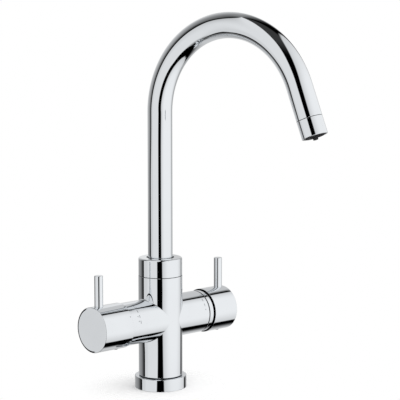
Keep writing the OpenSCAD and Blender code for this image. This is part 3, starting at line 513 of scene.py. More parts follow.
class Shell:
    """Patches of a surface, each with the exact facing of every spot, that become one mesh."""

    def __init__(self):
        self.patches = []

    def patch(self, spots, facings):
        self.patches.append((np.array(spots, float), np.array(facings, float)))

    def turn(self, runs, place, angles):
        swing = np.stack([np.cos(angles), np.sin(angles)], 1)
        turner = np.array(place.to_3x3())
        origin = np.array(place.translation)
        for run in runs:
            spots, facings = [], []
            for spot, facing in run:
                flat = np.column_stack([swing * spot.x, np.full(len(angles), spot.y)])
                way = np.column_stack([swing * facing.x, np.full(len(angles), facing.y)])
                spots.append(flat @ turner.T + origin)
                facings.append(way @ turner.T)
            self.patch(spots, facings)

    def mesh(self, name, cutter=False):
        corners, faces, facings = [], [], []
        first = 0
        for patch_spots, patch_ways in self.patches:
            rows, columns = patch_spots.shape[:2]
            number = np.arange(rows * columns).reshape(rows, columns)
            round_face = (number[:-1, :-1], number[:-1, 1:], number[1:, 1:], number[1:, :-1])
            quads = np.stack(round_face, -1).reshape(-1, 4)
            spots, ways = flat_points(patch_spots), flat_points(patch_ways)
            diagonals = spots[quads[:, 2]] - spots[quads[:, 0]], spots[quads[:, 3]] - spots[quads[:, 1]]
            wrong = (np.cross(*diagonals) * ways[quads].sum(1)).sum(1) < 0
            quads[wrong] = quads[wrong][:, ::-1]
            corners.append(spots)
            faces.append(quads + first)
            facings.append(flat_points(ways[quads]))
            first += len(spots)
        made = bpy.data.meshes.new(name)
        made.from_pydata(np.concatenate(corners) * MM, [], np.concatenate(faces).tolist())
        layer = made.attributes.new("facing", "FLOAT_VECTOR", "CORNER")
        directions = np.concatenate(facings) * (-1.0 if cutter else 1.0)
        layer.data.foreach_set("vector", directions.ravel().astype(np.float32))
        form = bmesh.new()
        form.from_mesh(made)
        bmesh.ops.remove_doubles(form, verts=form.verts, dist=WELD * MM)
        form.to_mesh(made)
        form.free()
        return made


def cutter(runs, place, sides=64):
    shell = Shell()
    shell.turn(runs, place, full_turn(sides))
    return shell.mesh("Cutter", cutter=True)


print("spots closer than", WELD, "mm become one")

# %% [markdown]
# Holes and seats are cut out of a shell by other shells, with a Boolean modifier each, and the cut
# walls keep the cutters' own facings. A finished mesh then becomes a piece: its facings turn into
# its shading, and the faces that lie in a seam or a hollow get painted shade, a near-black paint
# that stands for the shade that falls in there.
# %% Cutting and finishing pieces
def plain_mesh(thing):
    """Mesh of an object with its modifiers."""
    return bpy.data.meshes.new_from_object(thing.evaluated_get(bpy.context.evaluated_depsgraph_get()))


def carved(mesh, cutters):
    """The mesh less the cutters."""
    body = shown("Carving", mesh)
    tools = [shown("Cutter", tool_mesh) for tool_mesh in cutters]
    for tool in tools:
        cut = body.modifiers.new("Cut", "BOOLEAN")
        cut.operation = "DIFFERENCE"
        cut.solver = "EXACT"
        cut.object = tool
    result = plain_mesh(body)
    for thing in [body] + tools:
        bpy.data.objects.remove(thing)
    return result


def piece(name, mesh, paint, in_seam=None):
    """Turns a finished mesh into a piece. in_seam says if a face's centre lies where painted shade goes."""
    layer = mesh.attributes.get("facing")
    mesh.shade_smooth()
    if layer:
        ways = np.empty(len(mesh.loops) * 3, np.float32)
        layer.data.foreach_get("vector", ways)
        ways = flat_points(ways)
        mesh.attributes.remove(layer)
        mesh.normals_split_custom_set(ways / np.maximum(np.linalg.norm(ways, axis=1), 1e-9)[:, None])
    mesh.materials.clear()
    mesh.materials.append(paint)
    # Faces in a seam or hollow take the second paint, painted shade that stands for the shade in there.
    if in_seam:
        mesh.materials.append(painted_seam_shade)
    for face in mesh.polygons:
        face.material_index = 1 if in_seam and in_seam(face.center / MM) else 0
    mesh.name = name
    print(name, len(mesh.polygons), "faces")
    return shown(name, mesh)


def turned_piece(name, runs, place, paint, cutters=(), sides=128, in_seam=None):
    shell = Shell()
    shell.turn(runs, place, full_turn(sides))
    mesh = shell.mesh(name)
    return piece(name, carved(mesh, cutters) if cutters else mesh, paint, in_seam)


print("tools for pieces ready")

# %% [markdown]
# Polished chrome is a mirror with small faults: wiping leaves patches that are slightly duller,
# and the plate follows faint waves of the polished brass under it. The drawn tube and the levers
# have the fewest waves and the cast body the most.
# %% Chrome finishes
CHROME = (0.81, 0.835, 0.86)
WIPE_SCALE = 38.0
SPECK_SCALE = 900.0
WORN_SHADE = 0.965
WAVE_DEPTH = 0.00002


def noise(net, place, scale, detail=3.0):
    made = net.node("ShaderNodeTexNoise", Vector=place, Scale=scale, Detail=detail)
    return net.amount(made.outputs[0])


def end_surface(net, shade, dullness, relief, depth, **settings):
    """Ends a material with this shade, dullness and relief."""
    bump = net.node("ShaderNodeBump", Strength=1.0, Distance=depth, Height=relief)
    shader = net.node(
        "ShaderNodeBsdfPrincipled", Base_Color=shade, Roughness=dullness, Normal=bump.outputs[0], **settings,
    )
    net.ending("ShaderNodeOutputMaterial", shader.outputs[0])


def metal_paint(name, colour, roughness, wipe, wave, wave_scale=45.0):
    """Bare or plated metal with dull wiped patches and faint waves."""
    paint, net = new_paint(name)
    place = object_place(net)
    cloudy = noise(net, place, WIPE_SCALE).rise(0.42, 0.72)
    specks = noise(net, place, SPECK_SCALE, 2.0)
    waves = noise(net, place, wave_scale, 1.0) * wave
    shade = shade_between(net, cloudy * 0.5, colour, [part * WORN_SHADE for part in colour])
    dullness = roughness + cloudy * wipe + specks * (wipe * 0.2)
    end_surface(net, shade, dullness, waves, WAVE_DEPTH, Metallic=1.0)
    return paint


body_chrome = metal_paint("BodyChrome", CHROME, 0.012, 0.03, 0.06)
tube_chrome = metal_paint("TubeChrome", CHROME, 0.010, 0.025, 0.03)
knob_chrome = metal_paint("KnobChrome", CHROME, 0.012, 0.03, 0.05)
lever_chrome = metal_paint("LeverChrome", CHROME, 0.012, 0.02, 0.03)
inner_brass = metal_paint("TurnedBrass", (0.72, 0.58, 0.30), 0.22, 0.12, 0.4, 300.0)
steel = metal_paint("MachinedSteel", (0.62, 0.63, 0.65), 0.20, 0.12, 0.4, 300.0)
etched = metal_paint("EtchedMark", (0.42, 0.43, 0.45), 0.45, 0.10, 0.6, 900.0)
print("metals ready")

# %% [markdown]
# Seals, black and white plastics and ceramic discs are mostly out of sight, but they show when the
# knobs tilt or the tap is seen from below. Each is a plain surface broken up by a fine grain.
# %% Rubber, plastic and ceramic
CLOUD_SCALE = 60.0
GRAIN_DEPTH = 0.00005


def dense_paint(name, colour, roughness, grain_scale, grain, speckle=0.1, coat=0.0, gloss=0.5):
    """Solid coloured stuff with a fine grain in its shade, dullness and relief."""
    paint, net = new_paint(name)
    place = object_place(net)
    grainy = noise(net, place, grain_scale, 4.0)
    darker = [part * (1 - speckle) for part in colour]
    lighter = [min(1.0, part * (1 + speckle)) for part in colour]
    shade = shade_between(net, (noise(net, place, CLOUD_SCALE) + grainy) * 0.5, darker, lighter)
    dullness = roughness + grainy * 0.1
    settings = {"Coat_Weight": coat, "Specular_IOR_Level": gloss}
    end_surface(net, shade, dullness, grainy * grain, GRAIN_DEPTH, **settings)
    return paint


rubber = dense_paint("SealRubber", (0.06, 0.06, 0.065), 0.6, 1500.0, 1.0)
black_plastic = dense_paint("BlackPlastic", (0.016, 0.016, 0.018), 0.45, 1200.0, 0.5)
white_plastic = dense_paint("WhitePlastic", (0.85, 0.85, 0.82), 0.35, 1200.0, 0.3, 0.03)
# SeamShadow is painted shade: a near-black, dull paint for faces deep in grooves and hollows. It stands for
# the shade that falls there, not for a colour of the parts.
painted_seam_shade = dense_paint("SeamShadow", (0.010, 0.010, 0.011), 0.7, 900.0, 0.3, gloss=0.05)
ceramic = dense_paint("GroundCeramic", (0.90, 0.88, 0.82), 0.12, 2500.0, 0.2, 0.02, 0.3)
print("soft and hard plastics ready")

# %% [markdown]
# The body is one brass casting: an upright column with a level arm on each side, slightly slimmer
# than the column. These are its sizes, with the fine grooves that are left above the base ring and
# beside the trim ring, whose faces get painted shade. NEAR is the slack for a face whose centre lies
# right on a seam's wall, and WALL_SLACK keeps the painted shade off the round walls at their bottom.
# %% Sizes of the body
COLUMN_R = 22.35
COLUMN_TOP = 115.6
BASE_H = 12.4
FOOT_R = 20.0
FOOT_Z = 2.0
BOSS_R = 19.0
BOSS_TOP = 130.0
BOSS_EDGE = 0.3
ARM_R = 21.5
MIXER_ARM_L = 49.8
FILTER_ARM_L = 53.8
FILLET_R = 0.9
FOOT_EDGE = 0.5
FOOT_GAP = 0.6
TRIM_GAP = 1.2
SEAM_EDGE = 0.2
SEAM_GAP = 0.4
SEAM_DEPTH = 0.8
FIT = 0.05
NEAR = 0.01
WALL_SLACK = 0.1
print("column", 2 * COLUMN_R, "mm and arms", 2 * ARM_R, "mm across")

# %% [markdown]
# Polishing leaves a small soft fillet where arms and column meet, which a plain union of cylinders
# lacks. A ball rolled along the joint touches arm and column on known curves, so the column, the
# arms and the fillets are laid as exact grids that end on those curves. The column comes first.
# %% Walls of the column
HALF_SIDES = 64
BACK_SIDES = 12
GRID_ROWS = 5
BALL_R = ARM_R + FILLET_R
BALL_WAY_R = COLUMN_R + FILLET_R


def stretched(low, high, facing, radius, axis):
    """Grid on a round wall between two curves, which give its low and high end along an axis."""
    shares = np.linspace(0, 1, GRID_ROWS + 1)[:, None]
    grid = np.broadcast_to(facing * radius, (GRID_ROWS + 1, len(facing), 3)).copy()
    grid[:, :, axis] = low * (1 - shares) + high * shares
    return grid, np.broadcast_to(facing, grid.shape)


def column_walls(shell):
    """The column between the grooves, above and below the arms, with its foot and its boss."""
    swing = np.linspace(-math.pi / 2, math.pi / 2, HALF_SIDES + 1)
    lean = np.arcsin(BALL_R * np.sin(swing) / BALL_WAY_R)
    side_turn = np.linspace(lean[-1], math.pi - lean[-1], BACK_SIDES + 1)
    turns = np.concatenate([lean[:-1], side_turn[:-1], (lean + math.pi)[:-1], side_turn + math.pi])
    drop = BALL_R * np.cos(swing)
    reach = np.concatenate([drop[:-1], side_turn[:-1] * 0, drop[:-1], side_turn * 0])
    facing = np.stack([np.cos(turns), np.sin(turns), turns * 0], 1)
    lowest = BASE_H + FOOT_GAP + FOOT_EDGE + reach * 0
    highest = COLUMN_TOP - SEAM_GAP - SEAM_EDGE + reach * 0
    shell.patch(*stretched(lowest, ARM_Z - reach, facing, COLUMN_R, 2))
    shell.patch(*stretched(ARM_Z + reach, highest, facing, COLUMN_R, 2))
    foot = outline([
        (0, FOOT_Z), (FOOT_R, FOOT_Z), (FOOT_R, BASE_H), (COLUMN_R - SEAM_DEPTH, BASE_H),
        (COLUMN_R - SEAM_DEPTH, BASE_H + FOOT_GAP), (COLUMN_R, BASE_H + FOOT_GAP, FOOT_EDGE),
        (COLUMN_R, ARM_Z),
    ])
    top = outline([
        (COLUMN_R, ARM_Z), (COLUMN_R, COLUMN_TOP - SEAM_GAP, SEAM_EDGE),
        (COLUMN_R - SEAM_DEPTH, COLUMN_TOP - SEAM_GAP), (COLUMN_R - SEAM_DEPTH, COLUMN_TOP),
        (BOSS_R, COLUMN_TOP), (BOSS_R, BOSS_TOP, BOSS_EDGE), (0, BOSS_TOP),
    ])
    shell.turn(foot[:-1] + top[1:], UPRIGHT, turns)


body_shell = Shell()
column_walls(body_shell)
print("column laid from", len(body_shell.patches), "patches")

# %% [markdown]
# Round each arm the ball's centre follows the curve that keeps a fixed distance from each of the
# two axes. The fillet is swept by the part of the ball between the two walls, and the arm's wall
# goes on from there to the arm's end.
# %% Walls of the arms
FILLET_ROWS = 6


def arm_walls(shell, side, length, gap, place):
    """Fillet, wall and end of one arm. Side is 1 for +X and -1 for -X."""
    circle = np.linspace(-math.pi / 2, 1.5 * math.pi, 2 * HALF_SIDES + 1)
    y = BALL_R * np.sin(circle)
    x = np.sqrt(BALL_WAY_R ** 2 - y ** 2)
    centres = np.stack([x, y, BALL_R * np.cos(circle)], 1)
    arm_way = np.stack([circle * 0, np.sin(circle), np.cos(circle)], 1)
    column_way = np.stack([x, y, circle * 0], 1) / BALL_WAY_R
    opening = np.arccos((arm_way * column_way).sum(1))[:, None]
    mirror = np.array([side, 1, 1])
    lift = (0, 0, ARM_Z)
    ways = []
    for share in np.linspace(0, 1, FILLET_ROWS + 1):
        way = np.sin((1 - share) * opening) * arm_way + np.sin(share * opening) * column_way
        ways.append(way / np.sin(opening))
    ways = np.array(ways)
    shell.patch((centres - ways * FILLET_R + lift) * mirror, ways * mirror)
    grid, facing = stretched(x, length - gap - SEAM_EDGE, arm_way, ARM_R, 0)
    shell.patch((grid + lift) * mirror, facing * mirror)
    groove = [(ARM_R - SEAM_DEPTH, length - gap), (ARM_R - SEAM_DEPTH, length)] if gap else []
    end = outline([(ARM_R, 0), (ARM_R, length - gap, SEAM_EDGE)] + groove + [(0, length)])
    # The arm's own frame measures its turn from straight up, towards -Y or +Y
    shell.turn(end[1:], place, circle * -side)


arm_walls(body_shell, 1, MIXER_ARM_L, TRIM_GAP, MIXER_ARM)
arm_walls(body_shell, -1, FILTER_ARM_L, 0, FILTER_ARM)
print("body laid from", len(body_shell.patches), "patches")

# %% [markdown]
# The casting is hollow. Each arm has a stepped seat, for the mixing cartridge or the filter valve
# and its nut. The spout turns in a socket in the column's top, the hose block sits in its foot,
# and four upright waterways with a level port each join the foot to the seats. Every bore is
# written as its steps, each with a radius and a start.
# %% Seats and waterways
PAST_ARM = 60
PAST_WALL = 30
NUT_BORE_R = 19.45
MIXER_SEAT = ((17.6, 24.5), (NUT_BORE_R, 47.3))
FILTER_SEAT = ((15.0, 25.05), (18.0, 46.0))
PAST_BOSS = 140
SPOUT_SOCKET = ((4.0, 80), (14.25, 87), (17.05, 126.9))
BLOCK_SEAT_R = 18.05
BLOCK_TOP = 25
STOP_SCREW_R = 2.05
STOP_SCREW_Z = 120.5
INLET_OFFSET = 12 * math.sqrt(0.5)
RISER_R = 3.5
RISER_START = 24
PORT_R = 2.8
PORT_L = 17
MIXER_PORT_RISE = 4


def body_cutters():
    tools = [
        cutter(bore(PAST_ARM, *MIXER_SEAT), MIXER_ARM, 96),
        cutter(bore(PAST_ARM, *FILTER_SEAT), FILTER_ARM, 96),
        cutter(bore(PAST_BOSS, *SPOUT_SOCKET), UPRIGHT, 96),
        cutter(bore(BLOCK_TOP, (BLOCK_SEAT_R, 0)), UPRIGHT, 96),
        cutter(bore(PAST_WALL, (STOP_SCREW_R, 0)), frame_of((0, 0, STOP_SCREW_Z), (1, 0, 0), (0, 1, 0)), 32),
    ]
    for side in (-1, 1):
        for depth in (-1, 1):
            x, y = side * INLET_OFFSET, depth * INLET_OFFSET
            port_z = ARM_Z + (MIXER_PORT_RISE if side > 0 else 0)
            riser = bore(port_z, (RISER_R, RISER_START))
            tools.append(cutter(riser, frame_of((x, y, 0), (1, 0, 0), (0, 0, 1)), 32))
            port = bore(PORT_L, (PORT_R, 0))
            tools.append(cutter(port, frame_of((x, y, port_z), (0, 0, 1), (side, 0, 0)), 32))
    return tools


# The faces in the body's three grooves get painted shade, the near-black paint that stands for the shade
# inside them.
def in_body_seam(spot):
    from_axis = spot.xy.length
    from_arm_axis = (spot.yz - Vector((0, ARM_Z))).length
    if BASE_H < spot.z < BASE_H + FOOT_GAP + NEAR:
        return FOOT_R + WALL_SLACK < from_axis < COLUMN_R - FOOT_EDGE
    if spot.z > COLUMN_TOP - SEAM_GAP - NEAR:
        return BOSS_R + WALL_SLACK < from_axis < COLUMN_R - SEAM_EDGE
    return spot.x > MIXER_ARM_L - TRIM_GAP - NEAR and from_arm_axis < ARM_R - SEAM_EDGE


body = piece("CastBody", carved(body_shell.mesh("CastBody"), body_cutters()), body_chrome, in_body_seam)
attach(body, "root")
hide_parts("body_casting")

# %% [markdown]
# Base ring, spout collar and trim ring are plain turned rings with softened edges. Each rounded
# edge draws the thin bright or dark line that tells the eye where one ring ends and the next
# begins. The trim ring is level with the arm and draws in towards its end, along the same ball as
# the cover behind it, so that the knob can tip over it.
# %% Turned rings
BASE_R = 26.4
GROOVE_IN_R = 21.95
GROOVE_OUT_R = 24.45
GROOVE_H = 1.6
COLLAR_R = 22.2
COLLAR_IN_R = 19.1
COLLAR_HOLE_R = 14.1
COLLAR_FOOT = COLUMN_TOP + FIT
COLLAR_PLATE = 130.1
COLLAR_TOP = 133.9
SOFT_EDGE = 0.3
BASE_TOP_EDGE = 0.8
COLLAR_TOP_EDGE = 1.8
COLLAR_HOLE_EDGE = 0.25
TRIM_BEND_EDGE = 6.0
TRIM_R = ARM_R
TRIM_BEND = 54.0
TRIM_END = 56.0
TRIM_TIP_R = 21.1


# The faces in the seams of the spout collar and the trim ring get painted shade, for the shade in the joint.
def in_collar_seam(spot):
    return spot.z < COLLAR_FOOT + NEAR and spot.xy.length < COLLAR_R - SEAM_EDGE


def in_trim_seam(spot):
    return not MIXER_ARM_L + NEAR < spot.x < TRIM_END - NEAR


base_runs = outline([
    (FOOT_R + FIT, 0), (GROOVE_IN_R, 0), (GROOVE_IN_R, GROOVE_H), (GROOVE_OUT_R, GROOVE_H),
    (GROOVE_OUT_R, 0), (BASE_R, 0, SOFT_EDGE), (BASE_R, BASE_H, BASE_TOP_EDGE), (FOOT_R + FIT, BASE_H),
], closed=True)
collar_runs = outline([
    (COLLAR_IN_R, COLLAR_FOOT), (COLLAR_R, COLLAR_FOOT, SEAM_EDGE), (COLLAR_R, COLLAR_TOP, COLLAR_TOP_EDGE),
    (COLLAR_HOLE_R, COLLAR_TOP, COLLAR_HOLE_EDGE), (COLLAR_HOLE_R, COLLAR_PLATE), (COLLAR_IN_R, COLLAR_PLATE),
], closed=True)
trim_runs = outline([
    (NUT_BORE_R, MIXER_ARM_L), (TRIM_R, MIXER_ARM_L, SEAM_EDGE), (TRIM_R - FIT, TRIM_BEND, TRIM_BEND_EDGE),
    (TRIM_TIP_R, TRIM_END, SEAM_EDGE), (NUT_BORE_R, TRIM_END),
], closed=True)
for name, runs, place, in_seam, node in (
    ("BaseRing", base_runs, UPRIGHT, None, "base_ring"),
    ("SpoutCollar", collar_runs, UPRIGHT, in_collar_seam, "spout_collar"),
    ("MixerTrimRing", trim_runs, MIXER_ARM, in_trim_seam, "mixer_trim_ring"),
):
    ring = turned_piece(name, runs, place, body_chrome, sides=192, in_seam=in_seam)
    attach(ring, "root")
    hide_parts(node)

# %% [markdown]
# A black ball-shaped cover fills the gap between the trim ring and the tilting knob. It wears the
# painted seam shade, darker and duller than black plastic, for the shade in the gap under the knob.
# It is centred on the tilt axis, so the gap stays even as the knob tips. A hollow sphere cut open
# on both sides would do, but two arcs in one outline give the wall, the hole and the skirt together.
# %% Mixer dome
PIVOT_W = 47.0
DOME_R = 22.34
DOME_IN_R = 20.14
DOME_HOLE_R = 15.2
DOME_FOOT = TRIM_END + FIT
DOME_STEP = 57.5
DOME_SEAT = 52.55
SKIRT_IN_R = 16.55
SKIRT_R = 19.35


def angle_at(height, radius):
    """Angle on a ball round the tilt axis, in degrees, at a distance along the arm."""
    return math.degrees(math.asin((height - PIVOT_W) / radius))


def angle_off(offset, radius):
    """Angle on the ball at a distance from the arm's axis."""
    return math.degrees(math.acos(offset / radius))


dome_out = arc_run(
    (0, PIVOT_W), DOME_R, angle_at(DOME_FOOT, DOME_R), angle_off(DOME_HOLE_R, DOME_R), 16,
)
dome_in = arc_run(
    (0, PIVOT_W), DOME_IN_R, angle_off(DOME_HOLE_R, DOME_IN_R), angle_at(DOME_STEP, DOME_IN_R), 12, True,
)
skirt = outline([
    dome_in[-1][0], (SKIRT_IN_R, DOME_STEP), (SKIRT_IN_R, DOME_SEAT), (SKIRT_R, DOME_SEAT),
    (SKIRT_R, DOME_FOOT), dome_out[0][0],
])
dome_runs = [dome_out] + outline([dome_out[-1][0], dome_in[0][0]]) + [dome_in] + skirt
dome = turned_piece("MixerDome", dome_runs, MIXER_ARM, painted_seam_shade)
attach(dome, "root")
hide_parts("mixer_dome")

# %% [markdown]
# Each knob is a turned cap with a flat polished end. The mixer knob is hollowed to a ball shape
# that clears the black dome, and the filter knob has a hub that grips its valve's spindle. The
# hollow and the rims that face the arms get painted shade, and the painted shade on the rim is what
# draws the black line at the mixer knob. A hole in the top holds the lever, and one underneath
# leads to the set screw behind a small plug.
# %% Knobs
KNOB_R = 22.6
KNOB_EDGE = 0.6
CROWN_W = 1.8
CROWN_H = 0.22
CROWN_EDGE = 2.0
MIXER_RIM = 56.5
MIXER_END = 87.4
HOLLOW_R = 23.94
STEM_BORE_R = 3.95
STEM_BORE_END = 81.39
FILTER_RIM = 54.1
FILTER_END = 89.9
FILTER_FLOOR = 72.9
FLOOR_EDGE = 0.5
FILTER_IN_R = 19.6
HUB_R = 9.0
HUB_START = 57.0
SPINDLE_BORE_R = 4.05
SPINDLE_BORE_END = 66.55
LEVER_W = 80.7
LEVER_SEAT = 19.6
LEVER_BORE = ((3.05, 8.8), (4.3, LEVER_SEAT))
SCREW_BORE_R = 2.55
SCREW_W = {1: 78.44, -1: 60.3}


def off_arm(x, upward):
    """Frame that points up or down from the arms' axis at a place along X."""
    return frame_of((x, 0, ARM_Z), (1, 0, 0), (0, 0, upward))


def knob_tools(side):
    """Cutters for the lever's seat and stud and for the set screw. Side is 1 for +X and -1 for -X."""
    return [
        cutter(bore(PAST_WALL, *LEVER_BORE), off_arm(side * LEVER_W, 1)),
        cutter(bore(PAST_WALL, (SCREW_BORE_R, 0)), off_arm(side * SCREW_W[side], -1), 48),
    ]


def cap_end(end):
    """Corners of a knob's polished end, with its faint crown."""
    return [(KNOB_R, end - CROWN_H, KNOB_EDGE), (KNOB_R - CROWN_W, end, CROWN_EDGE), (0, end)]


def in_mixer_hollow(spot):
    from_pivot = (spot - Vector((PIVOT_W, 0, ARM_Z))).length
    return spot.x < MIXER_RIM + NEAR or from_pivot < HOLLOW_R


def in_filter_rim(spot):
    return spot.x > -FILTER_RIM - NEAR


hollow = arc_run(
    (0, PIVOT_W), HOLLOW_R, angle_off(STEM_BORE_R, HOLLOW_R), angle_at(MIXER_RIM, HOLLOW_R), 24, True,
)
stem_bore = outline([(0, STEM_BORE_END), (STEM_BORE_R, STEM_BORE_END), hollow[0][0]])
mixer_cap = outline([hollow[-1][0], (KNOB_R, MIXER_RIM, SEAM_EDGE)] + cap_end(MIXER_END))
filter_runs = outline([
    (0, SPINDLE_BORE_END), (SPINDLE_BORE_R, SPINDLE_BORE_END), (SPINDLE_BORE_R, HUB_START),
    (HUB_R, HUB_START, SOFT_EDGE), (HUB_R, FILTER_FLOOR, FLOOR_EDGE), (FILTER_IN_R, FILTER_FLOOR, FLOOR_EDGE),
    (FILTER_IN_R, FILTER_RIM, SEAM_EDGE), (KNOB_R, FILTER_RIM, SOFT_EDGE),
] + cap_end(FILTER_END))
mixer_runs = stem_bore + [hollow] + mixer_cap
mixer_knob, filter_knob = [
    turned_piece(name, runs, place, knob_chrome, knob_tools(side), 256, in_seam)
    for name, runs, place, side, in_seam in (
        ("MixerKnob", mixer_runs, MIXER_ARM, 1, in_mixer_hollow),
        ("FilterKnob", filter_runs, FILTER_ARM, -1, in_filter_rim),
    )
]

# %% [markdown]
# A lever is a plain pin on a thinner stud, and a plug is a short cap with a softened edge. Both
# could be joined from cylinders, but an outline gives stud, pin and rounded edge in one turn. The
# two knobs take the same ones, so one loop makes and places both pairs.
# %% Levers and plugs
LEVER_R = 4.25
LEVER_TOP = 53.3
LEVER_EDGE = 0.6
STUD_R = 3
STUD_END = 9
PLUG_R = 2.5
PLUG_START = 20.4
PLUG_END = 23.4
lever_runs = outline([
    (0, STUD_END), (STUD_R, STUD_END), (STUD_R, LEVER_SEAT), (LEVER_R, LEVER_SEAT),
    (LEVER_R, LEVER_TOP, LEVER_EDGE), (0, LEVER_TOP),
])
plug_runs = outline([(0, PLUG_START), (PLUG_R, PLUG_START), (PLUG_R, PLUG_END, SOFT_EDGE), (0, PLUG_END)])
for name, side, handle, cap in (
    ("Mixer", 1, "mixer_handle", mixer_knob),
    ("Filter", -1, "filter_handle", filter_knob),
):
    lever_place = off_arm(side * LEVER_W, 1)
    lever = turned_piece(name + "Lever", lever_runs, lever_place, lever_chrome, sides=96)
    plug_place = off_arm(side * SCREW_W[side], -1)
    plug = turned_piece(name + "KnobPlug", plug_runs, plug_place, black_plastic, sides=48)
    for made, node, slot in (
        (cap, "_knob", "knob_chrome"),
        (lever, "_lever", "lever_chrome"),
        (plug, "_knob_plug", "black_plastic"),
    ):
        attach(made, handle)
        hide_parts(name.lower() + node)

# %% [markdown]
# What repeats or follows a rule is made by Geometry Nodes. Each tree starts with its named inputs
# and ends in a plain painted mesh. Flat faces store their own direction as the facing of their
# corners, as the turned shells do with theirs.
# %% Starting and ending a tree of Geometry Nodes
def new_tree(name, **inputs):
    """Empty tree, its net and a function that gives a named input. The inputs come by their kind."""
    tree = bpy.data.node_groups.new(name, "GeometryNodeTree")
    tree.interface.new_socket("Geometry", in_out="OUTPUT", socket_type="NodeSocketGeometry")
    for kind, names in inputs.items():
        for input_name in names:
            tree.interface.new_socket(input_name, in_out="INPUT", socket_type="NodeSocket" + kind)
    net = Net(tree)
    sockets = net.node("NodeGroupInput").outputs

    def given(input_name):
        return net.amount(sockets[input_name])

    return tree, net, given


def end_tree(net, shape, finish):
    real = net.node("GeometryNodeRealizeInstances", Geometry=shape)
    painted = net.node("GeometryNodeSetMaterial", Geometry=real.outputs[0], Material=finish)
    net.ending("NodeGroupOutput", painted.outputs[0])


def with_facing(net, shape, way):
    """Stores a direction as the facing of every face corner."""
    kept = {"data_type": "FLOAT_VECTOR", "domain": "CORNER"}
    stored = net.node("GeometryNodeStoreNamedAttribute", kept, Geometry=shape, Name="facing", Value=way)
    return stored.outputs[0]


def flat_faced(net, shape):
    flat = net.node("GeometryNodeFieldOnDomain", {"data_type": "FLOAT_VECTOR", "domain": "FACE"})
    net.feed(flat.inputs[0], net.node("GeometryNodeInputNormal").outputs[0])
    return with_facing(net, shape, flat.outputs[0])


def grown(tree, settings, base=None):
    """Plain mesh made by a node tree, from named inputs."""
    host = shown("Host", base or bpy.data.meshes.new("Host"))
    grower = host.modifiers.new("Grow", "NODES")
    grower.node_group = tree
    for item in tree.interface.items_tree:
        if item.item_type == "SOCKET" and item.in_out == "INPUT" and item.name in settings:
            grower[item.identifier] = settings[item.name]
    host.update_tag()
    mesh = plain_mesh(host)
    bpy.data.objects.remove(host)
    return mesh


print("tools for node trees ready")

# %% [markdown]
# The spout is one drawn tube: straight up, round a wide bend, and straight down to the outlet. Its
# shape follows a short rule, so Geometry Nodes place it. Each spot of a plain grid has a distance
# along the tube and an angle round it, and sums turn these into a place. A run of tube that has
# not reached the bend has turned by nothing, and one past it by the whole sweep, so one rule
# serves all three stretches.
# %% Tube along a bend
TUBE_SIDES = 128
TUBE_STEPS = 224


def sine_and_cosine(net, angle):
    return net.maths("SINE", angle), net.maths("COSINE", angle)


def tube_tree():
    sizes = ("Radius", "Facing", "Lowest", "Bend Height", "Bend Radius", "Sweep", "Straight End", "Heading")
    tree, net, given = new_tree("TubeAlongBend", Float=sizes, Material=["Finish"])
    grid = net.node(
        "GeometryNodeMeshGrid", Vertices_X=TUBE_STEPS + 1, Vertices_Y=TUBE_SIDES + 1, Size_X=1.0, Size_Y=1.0,
    )
    along, around, _ = net.parts(net.node("GeometryNodeInputPosition").outputs[0])
    share = along + 0.5
    turn = around * (2 * math.pi)
    radius, bend_r = given("Radius"), given("Bend Radius")
    upright = given("Bend Height") - given("Lowest")
    swept = bend_r * given("Sweep")
    run = share * (upright + swept + given("Straight End"))
    climbed = net.maths("MINIMUM", run, upright)
    leant = net.maths("MAXIMUM", net.maths("MINIMUM", (run - upright) / bend_r, given("Sweep")), 0.0)
    beyond = net.maths("MAXIMUM", run - upright - swept, 0.0)
    lean_sin, lean_cos = sine_and_cosine(net, leant)
    side_way, out_way = sine_and_cosine(net, turn)
    heading_sin, heading_cos = sine_and_cosine(net, given("Heading"))
    reach = bend_r * (1.0 - lean_cos) + beyond * lean_sin + radius * out_way * lean_cos
    height = given("Lowest") + climbed + bend_r * lean_sin + beyond * lean_cos - radius * out_way * lean_sin

    def headed(forward, sideways, upward):
        """Vector turned to the way that the spout points."""
        x = forward * heading_cos - sideways * heading_sin
        y = forward * heading_sin + sideways * heading_cos
        return net.combined(x, y, upward)

    facing = given("Facing")
    way = headed(out_way * lean_cos * facing, side_way * facing, -(out_way * lean_sin) * facing)
    kept = net.node("GeometryNodeCaptureAttribute", Geometry=grid.outputs["Mesh"])
    kept.capture_items.new("VECTOR", "Way")
    net.feed(kept.inputs["Way"], way)
    placed = net.node("GeometryNodeSetPosition", Geometry=kept.outputs["Geometry"])
    net.feed(placed.inputs["Position"], headed(reach, radius * side_way, height))
    end_tree(net, with_facing(net, placed.outputs[0], kept.outputs["Way"]), given("Finish"))
    return tree


bend_tree = tube_tree()
print("tube tree has", len(bend_tree.nodes), "nodes")

# %% [markdown]
# The tree runs twice, for the tube's outer and inner wall, and two turned rims close the wall at
# its ends. The outlet parts hang on the tube's straight end, so its frame is worked out once. Its
# Z axis points at the outlet and starts where the bend ends.
# %% Spout tube
TUBE_R = 12.5
TUBE_IN_R = 11.3
TUBE_Z = 103.95
TUBE_EDGE = 0.2
BEND_Z = 280.6
BEND_R = 87.3
BEND_SWEEP = math.radians(158.7)
TAIL_L = 32.3
SPOUT_TURN = math.radians(8.8 - 90)
WALL_WELD = 0.002
HEADING = Matrix.Rotation(SPOUT_TURN, 3, "Z")


def tail_frame():
    lean_sin, lean_cos = math.sin(BEND_SWEEP), math.cos(BEND_SWEEP)
    origin = HEADING @ Vector((BEND_R * (1 - lean_cos), 0, BEND_Z + BEND_R * lean_sin))
    outwards = HEADING @ Vector((lean_cos, 0, -lean_sin))
    return frame_of(origin, outwards, HEADING @ Vector((lean_sin, 0, lean_cos)))


TAIL = tail_frame()


